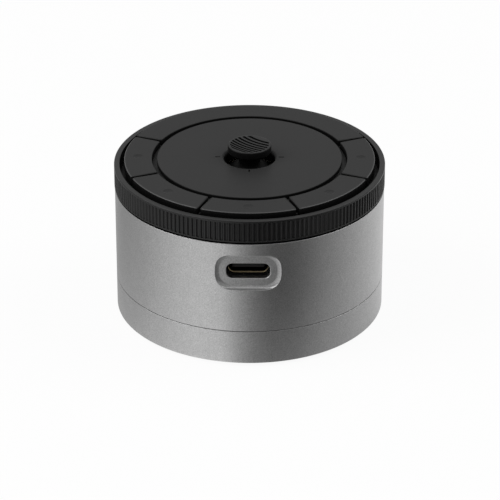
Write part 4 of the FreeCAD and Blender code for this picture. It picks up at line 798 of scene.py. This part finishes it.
def soft_edges():
    """A normal that rounds creases by a radius in millimetres, and a mask of the edges."""
    group, given, made = new_group("soft_edges", [("Radius", "Float", 0.1)],
                                   [("Normal", "Vector"), ("Edge", "Float")])
    radius = calc(group, "MULTIPLY", given["Radius"], MM)
    round_by = place(group, "Bevel", {"Radius": radius}, samples=6)
    plain = place(group, "NewGeometry").outputs["Normal"]
    facing = place(group, "VectorMath", {0: round_by.outputs[0], 1: plain},
                   operation="DOT_PRODUCT").outputs["Value"]
    edge = calc(group, "MULTIPLY", calc(group, "SUBTRACT", 1.0, facing), 6.0, clamp=True)
    group.links.new(round_by.outputs[0], made["Normal"])
    group.links.new(edge, made["Edge"])
    return group


def dust_and_top_light():
    """A thin, uneven dust mask on faces that look up, and a plain mask of those faces that paints top
    light.
    """
    group, given, made = new_group("dust_and_top_light", [("Amount", "Float", 0.05)],
                                   [("Mask", "Float"), ("Top_light_mask", "Float")])
    up = place(group, "SeparateXYZ", {0: place(group, "NewGeometry").outputs["Normal"]})
    # This mask of faces that look up paints top light in the finishes.
    tops = calc(group, "MULTIPLY_ADD", up.outputs["Z"], 2.5, -1.5, clamp=True)
    group.links.new(tops, made["Top_light_mask"])
    where = place(group, "TexCoord").outputs["Object"]
    specks = place(group, "TexNoise", {"Vector": where, "Scale": 2.2 / MM, "Detail": 4.0,
                                       "Roughness": 0.7})
    thin = calc(group, "MULTIPLY_ADD", specks.outputs["Fac"], 3.0, -1.4, clamp=True)
    level = calc(group, "MULTIPLY", calc(group, "MAXIMUM", up.outputs["Z"], 0.0), thin)
    group.links.new(calc(group, "MULTIPLY", level, given["Amount"]), made["Mask"])
    return group


GRAIN, EDGES, DUST_WITH_TOP_LIGHT = fine_grain(), soft_edges(), dust_and_top_light()

# %% [markdown]
# ## The finishes
# Blasted metal, satin plastic and rubber differ in colour, gloss and the size of their grain, but
# are built alike: the grain moves the colour between two near tones and makes a bump, the edges
# are a little brighter from wear and a painted highlight, faces that look up can be painted lighter
# as painted top light, and some dust dulls what looks up. One recipe with named values makes
# them all, and each finish is then a short list of choices.

# %% The recipe for a finish
finishes = {}


def finish_of(name, dark, light, roughness, metallic=0.0, grain=0.12, bump=0.004, stretch=(1, 1, 1),
              edge=0.08, wear_and_highlight=0.15, dust=0.03, ior=1.45, coat=0.0, painted_top_light=0.0):
    """A material from two near tones, a gloss, a grain in millimetres, how worn and highlit its
    edges are, and how much painted top light its faces that look up get. It gives back the node
    tree and the tones' node."""
    finish = bpy.data.materials.new(name)
    finish.use_nodes = True
    tree = finish.node_tree
    tree.nodes.clear()
    grains = place(tree, "Group", node_tree=GRAIN)
    grains.inputs["Size"].default_value = grain
    grains.inputs["Stretch"].default_value = stretch
    edges = place(tree, "Group", node_tree=EDGES)
    edges.inputs["Radius"].default_value = edge
    specks = place(tree, "Group", node_tree=DUST_WITH_TOP_LIGHT)
    specks.inputs["Amount"].default_value = dust
    tone = place(tree, "Mix", {"Factor": grains.outputs["Tone"], "A": (*dark, 1), "B": (*light, 1)},
                 data_type="RGBA", label="tone")
    top_light_mix, top_light_tone = tone, [part + painted_top_light for part in light]
    # Faces that look up are mixed to a lighter tone here: painted top light.
    if painted_top_light:
        top_light_mix = place(tree, "Mix", {"Factor": specks.outputs["Top_light_mask"], "A": tone.outputs["Result"],
                                      "B": (*top_light_tone, 1)}, data_type="RGBA", label="top_light_mix")
    # Edges are mixed to a lighter tone: edge wear and a painted highlight.
    worn_highlight_tone = [min(1.0, 1.6 * part + 0.02) for part in top_light_tone]
    worn_and_highlit = place(tree, "Mix", {"Factor": calc(tree, "MULTIPLY", edges.outputs["Edge"], wear_and_highlight),
                               "A": top_light_mix.outputs["Result"], "B": (*worn_highlight_tone, 1)},
                 data_type="RGBA", label="wear_and_highlight")
    dusty = place(tree, "Mix", {"Factor": specks.outputs["Mask"], "A": worn_and_highlit.outputs["Result"],
                                "B": (0.42, 0.41, 0.39, 1)}, data_type="RGBA", label="dust")
    gloss = calc(tree, "MULTIPLY_ADD", grains.outputs["Patches"], 0.06, roughness - 0.03)
    dull = calc(tree, "ADD", gloss, specks.outputs["Mask"], clamp=True)
    relief = place(tree, "Bump", {"Height": grains.outputs["Height"], "Distance": bump * MM,
                                  "Strength": 1.0, "Normal": edges.outputs["Normal"]})
    shader = place(tree, "BsdfPrincipled", {
        "Base Color": dusty.outputs["Result"], "Roughness": dull, "Metallic": metallic,
        "IOR": ior, "Coat Weight": coat, "Normal": relief.outputs["Normal"]})
    place(tree, "OutputMaterial", {"Surface": shader.outputs[0]})
    finish.diffuse_color = (*light, 1)
    finishes[name] = finish
    return tree, tone


def grey(level, warmth=0.0):
    """A grey in linear light, a little warmer or cooler."""
    return (level * (1 + warmth), level, level * (1 - warmth))


# %% [markdown]
# The outside has six finishes and one painted highlight for the keys' outer edges. Glass beads
# leave aluminium evenly matt, with a fine sparkle and edges that are worn bright, with a painted
# highlight. The ring is anodised over the same blasting, the keys and the disc are moulded in a
# textured tool, the cap is a darker grade for the thumb, and the skirt in the well is plain and
# dull. The black ones are deep black on their walls, and are painted a little greyer where they
# look up, as painted top light.

# %% Finishes of the outside
finish_of("blasted_metal", grey(0.38), grey(0.55), 0.36, metallic=1.0, grain=0.2, bump=0.009,
          edge=0.12, wear_and_highlight=0.4, dust=0.01)
finish_of("anodised_black", grey(0.004), grey(0.008), 0.36, grain=0.10, bump=0.003, edge=0.08,
          wear_and_highlight=0.4, dust=0.01, ior=1.4, painted_top_light=0.022)
finish_of("moulded_black", grey(0.003), grey(0.006), 0.42, grain=0.09, bump=0.003, edge=0.07,
          wear_and_highlight=0.5, dust=0.006, ior=1.25, painted_top_light=0.026)
# A lighter black for the keys' outer top edges: a painted highlight.
finish_of("painted_edge_highlight", grey(0.06), grey(0.07), 0.40, grain=0.09, bump=0.002, wear_and_highlight=0.0, dust=0.0)
finish_of("thumb_black", grey(0.002), grey(0.004), 0.40, grain=0.09, bump=0.003, edge=0.08,
          wear_and_highlight=0.5, dust=0.004, ior=1.2, painted_top_light=0.034)
finish_of("smooth_black", grey(0.002), grey(0.004), 0.5, grain=0.5, bump=0.002, edge=0.08,
          wear_and_highlight=0.05, dust=0.002, ior=1.18)
finish_of("rubber", grey(0.022), grey(0.035), 0.75, grain=0.3, bump=0.02, edge=0.15, wear_and_highlight=0.1,
          dust=0.08, ior=1.4)

# %% [markdown]
# Inside there are steel, brass, moulded parts and boards. Rolled and drawn steel has its grain
# stretched along one axis. The board's green mask, the ribbon's tracks and the gold of the
# springs are the same recipe with other tones, and two of them get a pattern of their own.

# %% Finishes of the inside
finish_of("zinc_steel", grey(0.42, 0.01), grey(0.52, 0.01), 0.40, metallic=1.0, grain=0.5, bump=0.004)
finish_of("screw_metal", grey(0.34), grey(0.44), 0.32, metallic=1.0, grain=0.3, stretch=(1, 1, 0.2))
finish_of("spring_metal", grey(0.46), grey(0.56), 0.28, metallic=1.0, grain=0.2, stretch=(1, 1, 0.2))
# A light band inside the sleeve's mouth: a painted lit strip.
finish_of("painted_light_mouth", (0.84, 0.70, 0.45), (0.92, 0.78, 0.52), 0.5, metallic=0.4, grain=0.2,
          bump=0.003, stretch=(1, 0.1, 1), wear_and_highlight=0.3, dust=0.0)
# The sleeve's near-black steel stands for the shade inside the slot: painted shade.
finish_of("painted_shade_steel", grey(0.012), grey(0.02), 0.35, metallic=1.0, grain=0.2, wear_and_highlight=0.1, dust=0.0)
finish_of("port_black_and_painted_shade", grey(0.004), grey(0.007), 0.6, grain=0.1, dust=0.0)
finish_of("gold_plate", (0.72, 0.50, 0.18), (0.86, 0.62, 0.24), 0.25, metallic=1.0, grain=0.1)
finish_of("chip_black", grey(0.020), grey(0.030), 0.6, grain=0.15, bump=0.006)
finish_of("ceramic", (0.26, 0.19, 0.12), (0.36, 0.27, 0.18), 0.5, grain=0.2)
finish_of("socket_ivory", (0.66, 0.62, 0.53), (0.74, 0.70, 0.61), 0.45, grain=0.2)
finish_of("glide_white", grey(0.72), grey(0.80), 0.45, grain=0.3)
# The inner frames are darker than the outer blacks: painted shade in the gaps between the keys.
finish_of("frame_black", grey(0.008), grey(0.013), 0.5, grain=0.15, bump=0.006, dust=0.01)
finish_of("magnet_grey", grey(0.06), grey(0.09), 0.55, grain=0.12, bump=0.006)
finish_of("switch_black", grey(0.035), grey(0.05), 0.45, grain=0.12)
finish_of("plunger_red", (0.42, 0.06, 0.05), (0.50, 0.09, 0.07), 0.4, grain=0.12)


def with_pattern(name, dark, light, line, width, **choices):
    """A finish crossed by fine lines of another colour, such as the tracks of a board."""
    tree, tone = finish_of(name, dark, light, **choices)
    where = place(tree, "TexCoord").outputs["Object"]
    bands = place(tree, "TexWave", {"Vector": where, "Scale": 0.5 / (width * MM) / math.pi,
                                    "Distortion": 0.0}, bands_direction="X")
    mask = calc(tree, "MULTIPLY_ADD", bands.outputs["Fac"], 6.0, -3.6, clamp=True)
    after = [link.to_socket for link in tone.outputs["Result"].links]
    lined = place(tree, "Mix", {"Factor": mask, "A": tone.outputs["Result"], "B": (*line, 1)},
                  data_type="RGBA", label="lines")
    for socket in after:
        tree.links.new(lined.outputs["Result"], socket)


with_pattern("board_green", (0.010, 0.035, 0.018), (0.016, 0.050, 0.026), (0.03, 0.085, 0.045), 0.9,
             roughness=0.4, grain=0.4, coat=0.3)
with_pattern("ribbon_amber", (0.30, 0.15, 0.04), (0.38, 0.20, 0.06), (0.50, 0.26, 0.10), 0.4,
             roughness=0.35, grain=0.3, coat=0.3)

# %% [markdown]
# ## Dressing the parts
# Each new piece and each CAD part that stays in sight gets its finish by name. A CAD part keeps
# its shape and its place; only its material changes. A few pieces then get a second finish on some
# of their faces: the drum's recess is painted black as painted shade, the sleeve's mouth is painted
# light as a painted lit strip, and the keys' outer edges carry a painted highlight.

# %% Give every part its finish
DRESS = {
    "blasted_metal": ["drum", "drum_base"],
    "anodised_black": ["knurled_ring"],
    "moulded_black": ["keycap_" + side for side in KEY_PLACES] + ["back_arc", "groove_web",
                                                                   "deck_disc"],
    "thumb_black": ["thumb_cap"],
    "smooth_black": ["skirt_dome"],
    "rubber": ["rubber_foot"],
    "painted_shade_steel": ["port_sleeve"],
    "port_black_and_painted_shade": ["port_blade"],
    "gold_plate": ["port_springs"],
    "zinc_steel": ["ballast_weight"],
    "screw_metal": ["base_screws", "board_screws", "deck_screws", "stick_shaft"],
    "spring_metal": ["stick_housing", "click_dome", "centring_spring", "shaft_clip"],
    "chip_black": ["controller_chip", "dial_sensors"],
    "ceramic": ["board_passives"],
    "socket_ivory": ["board_connector", "deck_connector"],
    "glide_white": ["glide_ring"],
    "frame_black": ["deck_frame", "dial_carrier", "stick_base", "stick_yoke", "stick_carrier"],
    "magnet_grey": ["pole_ring"],
    "switch_black": ["key_switches", "press_switch"],
    "plunger_red": ["plunger_" + side for side in KEY_PLACES],
    "board_green": ["main_board", "deck_board"],
    "ribbon_amber": ["ribbon_cable"],
}
for finish_name, parts in DRESS.items():
    for part in parts:
        piece = bpy.data.objects[part]
        piece.data.materials.clear()
        piece.data.materials.append(finishes[finish_name])


def also(piece, finish_name, test):
    """Give the faces that pass a test a second finish."""
    piece.data.materials.append(finishes[finish_name])
    take_up(piece)
    print(f"{piece.name}: {pick('faces', test)} faces in {finish_name}")
    piece.active_material_index = 1
    bpy.ops.object.material_slot_assign()
    put_down()


# The drum's recess under the ring is painted black: painted shade.
also(drum, "port_black_and_painted_shade",
     lambda at, f: 28 < at.z < RIM_TOP
     and RECESS_INNER - 0.1 < math.hypot(at.x, at.y) < RIM_INNER + 0.05)
# The band just behind the sleeve's lip is painted light: a painted lit strip.
also(sleeve, "painted_light_mouth",
     lambda at, f: abs(at.y + SLEEVE_BACK + SLEEVE_DEPTH - 0.8) < 0.1
     and f.normal.x * at.x + f.normal.z * (at.z - PORT_HEIGHT) < 0)
# The keys' outer top fillets get that lighter black: a painted highlight.
for side in KEY_PLACES:
    also(bpy.data.objects["keycap_" + side], "painted_edge_highlight",
         lambda at, f: DECK_TOP - 0.16 < at.z < DECK_TOP - 0.002
         and math.hypot(at.x, at.y) > KEY_OUTER - 0.2)
bare = [name for name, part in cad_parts.items()
        if not part.hide_render and part.active_material.name not in finishes]
print("parts without a finish:", bare)

# %% [markdown]
# ## The table and the light
# The dial stands on a wide, white table that fills the picture behind it. A camera ray or a
# reflection sees it mostly as plain white. The rest is lit, so that it keeps a faint shadow.

# %% Lay the table
put_down()
bpy.ops.mesh.primitive_plane_add(size=6)
table = bpy.context.object
table.name = "table"
table_top = bpy.data.materials.new("table_top")
table_top.use_nodes = True
tree = table_top.node_tree
tree.nodes.clear()
where = place(tree, "TexCoord").outputs["Object"]
paper = place(tree, "TexNoise", {"Vector": where, "Scale": 900.0, "Detail": 3.0})
tone = place(tree, "Mix", {"Factor": paper.outputs["Fac"], "A": (0.925, 0.925, 0.925, 1),
                           "B": (0.935, 0.935, 0.935, 1)}, data_type="RGBA")
lit = place(tree, "BsdfDiffuse", {"Color": tone.outputs["Result"]})
white = place(tree, "Emission", {"Color": (1, 1, 1, 1), "Strength": 1.0})
WHITE_SHARE = 0.93
ray = place(tree, "LightPath").outputs
straight = calc(tree, "ADD", ray["Is Camera Ray"], ray["Is Glossy Ray"])
seen = calc(tree, "ADD", straight, ray["Is Transmission Ray"], clamp=True)
paper_white = place(tree, "MixShader", {0: calc(tree, "MULTIPLY", seen, WHITE_SHARE),
                                        1: lit.outputs[0], 2: white.outputs[0]})
place(tree, "OutputMaterial", {"Surface": paper_white.outputs[0]})
table.data.materials.append(table_top)

# %% [markdown]
# Metal shows what stands round it, and a white table alone would make the drum look flat. So a
# glowing sheet with a painted reflection lies round it: nearly white on the left, dark in front to
# the right, and paler again behind. Its tones run round a point between the dial's axis and its
# front, because that is where a cylinder seems to gather its reflections. The sheet is seen in
# reflections only, and throws no shadow.

# %% Lay the painted reflection sheet
bpy.ops.mesh.primitive_circle_add(vertices=96, radius=0.4, fill_type="NGON")
reflection_sheet = bpy.context.object
reflection_sheet.name = "painted_reflection_sheet"
take_up(reflection_sheet)
bpy.ops.mesh.select_all(action="SELECT")
bpy.ops.transform.translate(value=(0, 0, 0.2 * MM))
put_down()
painted_reflection = bpy.data.materials.new("painted_reflection")
painted_reflection.use_nodes = True
tree = painted_reflection.node_tree
tree.nodes.clear()
where = place(tree, "TexCoord").outputs["Object"]
about = place(tree, "Mapping", {"Vector": where, "Rotation": (0, 0, math.pi / 2),
                                "Location": (-14.5 * MM, 0, 0)})
angle = place(tree, "TexGradient", {"Vector": about.outputs[0]}, gradient_type="RADIAL")
tones = place(tree, "ValToRGB", {"Fac": angle.outputs["Fac"]})
steps = tones.color_ramp.elements
steps.remove(steps[1])
REFLECTION_TONES = {-180: 0.95, -150: 0.62, -125: 0.40, -95: 0.50, -60: 0.86, -40: 1.0, -22: 0.95,
              -8: 0.42, 4: 0.15, 20: 0.03, 40: 0.08, 80: 0.42, 120: 0.85, 150: 1.0}
for degrees, level in REFLECTION_TONES.items():
    position = degrees / 360 + 0.5
    step = steps[0] if degrees == -180 else steps.new(position)
    step.position = position
    step.color = (level, level, level, 1)
FOOT_WHITE, WHITE_FADE = 0.38, 0.0055
out = place(tree, "VectorMath", {0: where}, operation="LENGTH").outputs["Value"]
near = calc(tree, "MULTIPLY_ADD", out, -WHITE_FADE / MM, FOOT_WHITE, clamp=True)
# The sheet glows with these tones: a painted reflection, seen by glossy rays only.
sheet = place(tree, "Emission", {"Color": place(tree, "Mix", {
    "Factor": near, "A": tones.outputs["Color"], "B": (1, 1, 1, 1)},
    data_type="RGBA").outputs["Result"], "Strength": 1.0})
place(tree, "OutputMaterial", {"Surface": sheet.outputs[0]})
reflection_sheet.data.materials.append(painted_reflection)
reflection_sheet.visible_camera = reflection_sheet.visible_diffuse = reflection_sheet.visible_shadow = False
reflection_sheet.visible_transmission = False

# %% [markdown]
# A wide, dim soft lamp hangs above, and two smaller ones stand high at either side, the left one
# stronger, so that edges and hollows show a lit and a shaded side. The rest of the light comes
# evenly from all round.

# %% Hang the lamps


def lamp(name, at, size, power):
    """A square soft lamp that looks at the dial."""
    put_down()
    bpy.ops.object.light_add(type="AREA", location=at)
    light = bpy.context.object
    light.name = name
    light.data.size = size
    light.data.energy = power
    target = (0, 0, 0.02)
    away = [a - b for a, b in zip(at, target)]
    flat = math.hypot(away[0], away[1])
    light.rotation_euler = (math.atan2(flat, away[2]), 0, math.atan2(away[0], -away[1]))


lamp("top_lamp", (0, 0, 1.0), 1.2, 1.5)
lamp("left_lamp", (-0.65, -0.15, 0.6), 0.6, 3.6)
lamp("right_lamp", (0.65, 0.05, 0.6), 0.6, 2.2)

world = bpy.context.scene.world or bpy.data.worlds.new("studio")
bpy.context.scene.world = world
world.use_nodes = True
sky = next(item for item in world.node_tree.nodes if item.type == "BACKGROUND")
sky.inputs["Color"].default_value = (1, 1, 1, 1)
sky.inputs["Strength"].default_value = 0.39

# %% [markdown]
# ## The camera
# A long lens far away keeps the upright walls nearly straight. It stands 25.5 degrees above a
# point in the deck and is tipped down a little more, which puts the dial above the middle.

# %% Set up the camera
FOCAL_PIXELS, DISTANCE = 2775.0, 0.5941
DECK_POINT = 0.03464
ELEVATION, PITCH, AZIMUTH = math.radians(25.49), math.radians(27.38), math.radians(0.6)
SIDE_TURN = 0.00018
put_down()
bpy.ops.object.camera_add()
camera = bpy.context.object
camera.name = "camera"
camera.data.sensor_width = 36.0
camera.data.lens = FOCAL_PIXELS / 500 * 36.0
reach = DISTANCE * math.cos(ELEVATION)
camera.location = (reach * math.sin(AZIMUTH), -reach * math.cos(AZIMUTH),
                   DECK_POINT + DISTANCE * math.sin(ELEVATION))
camera.rotation_euler = (math.pi / 2 - PITCH, 0, AZIMUTH - SIDE_TURN)
camera.data.clip_start = 0.01
camera.data.clip_end = 20
bpy.context.scene.camera = camera
bpy.context.scene.view_settings.view_transform = "Standard"
put_down()
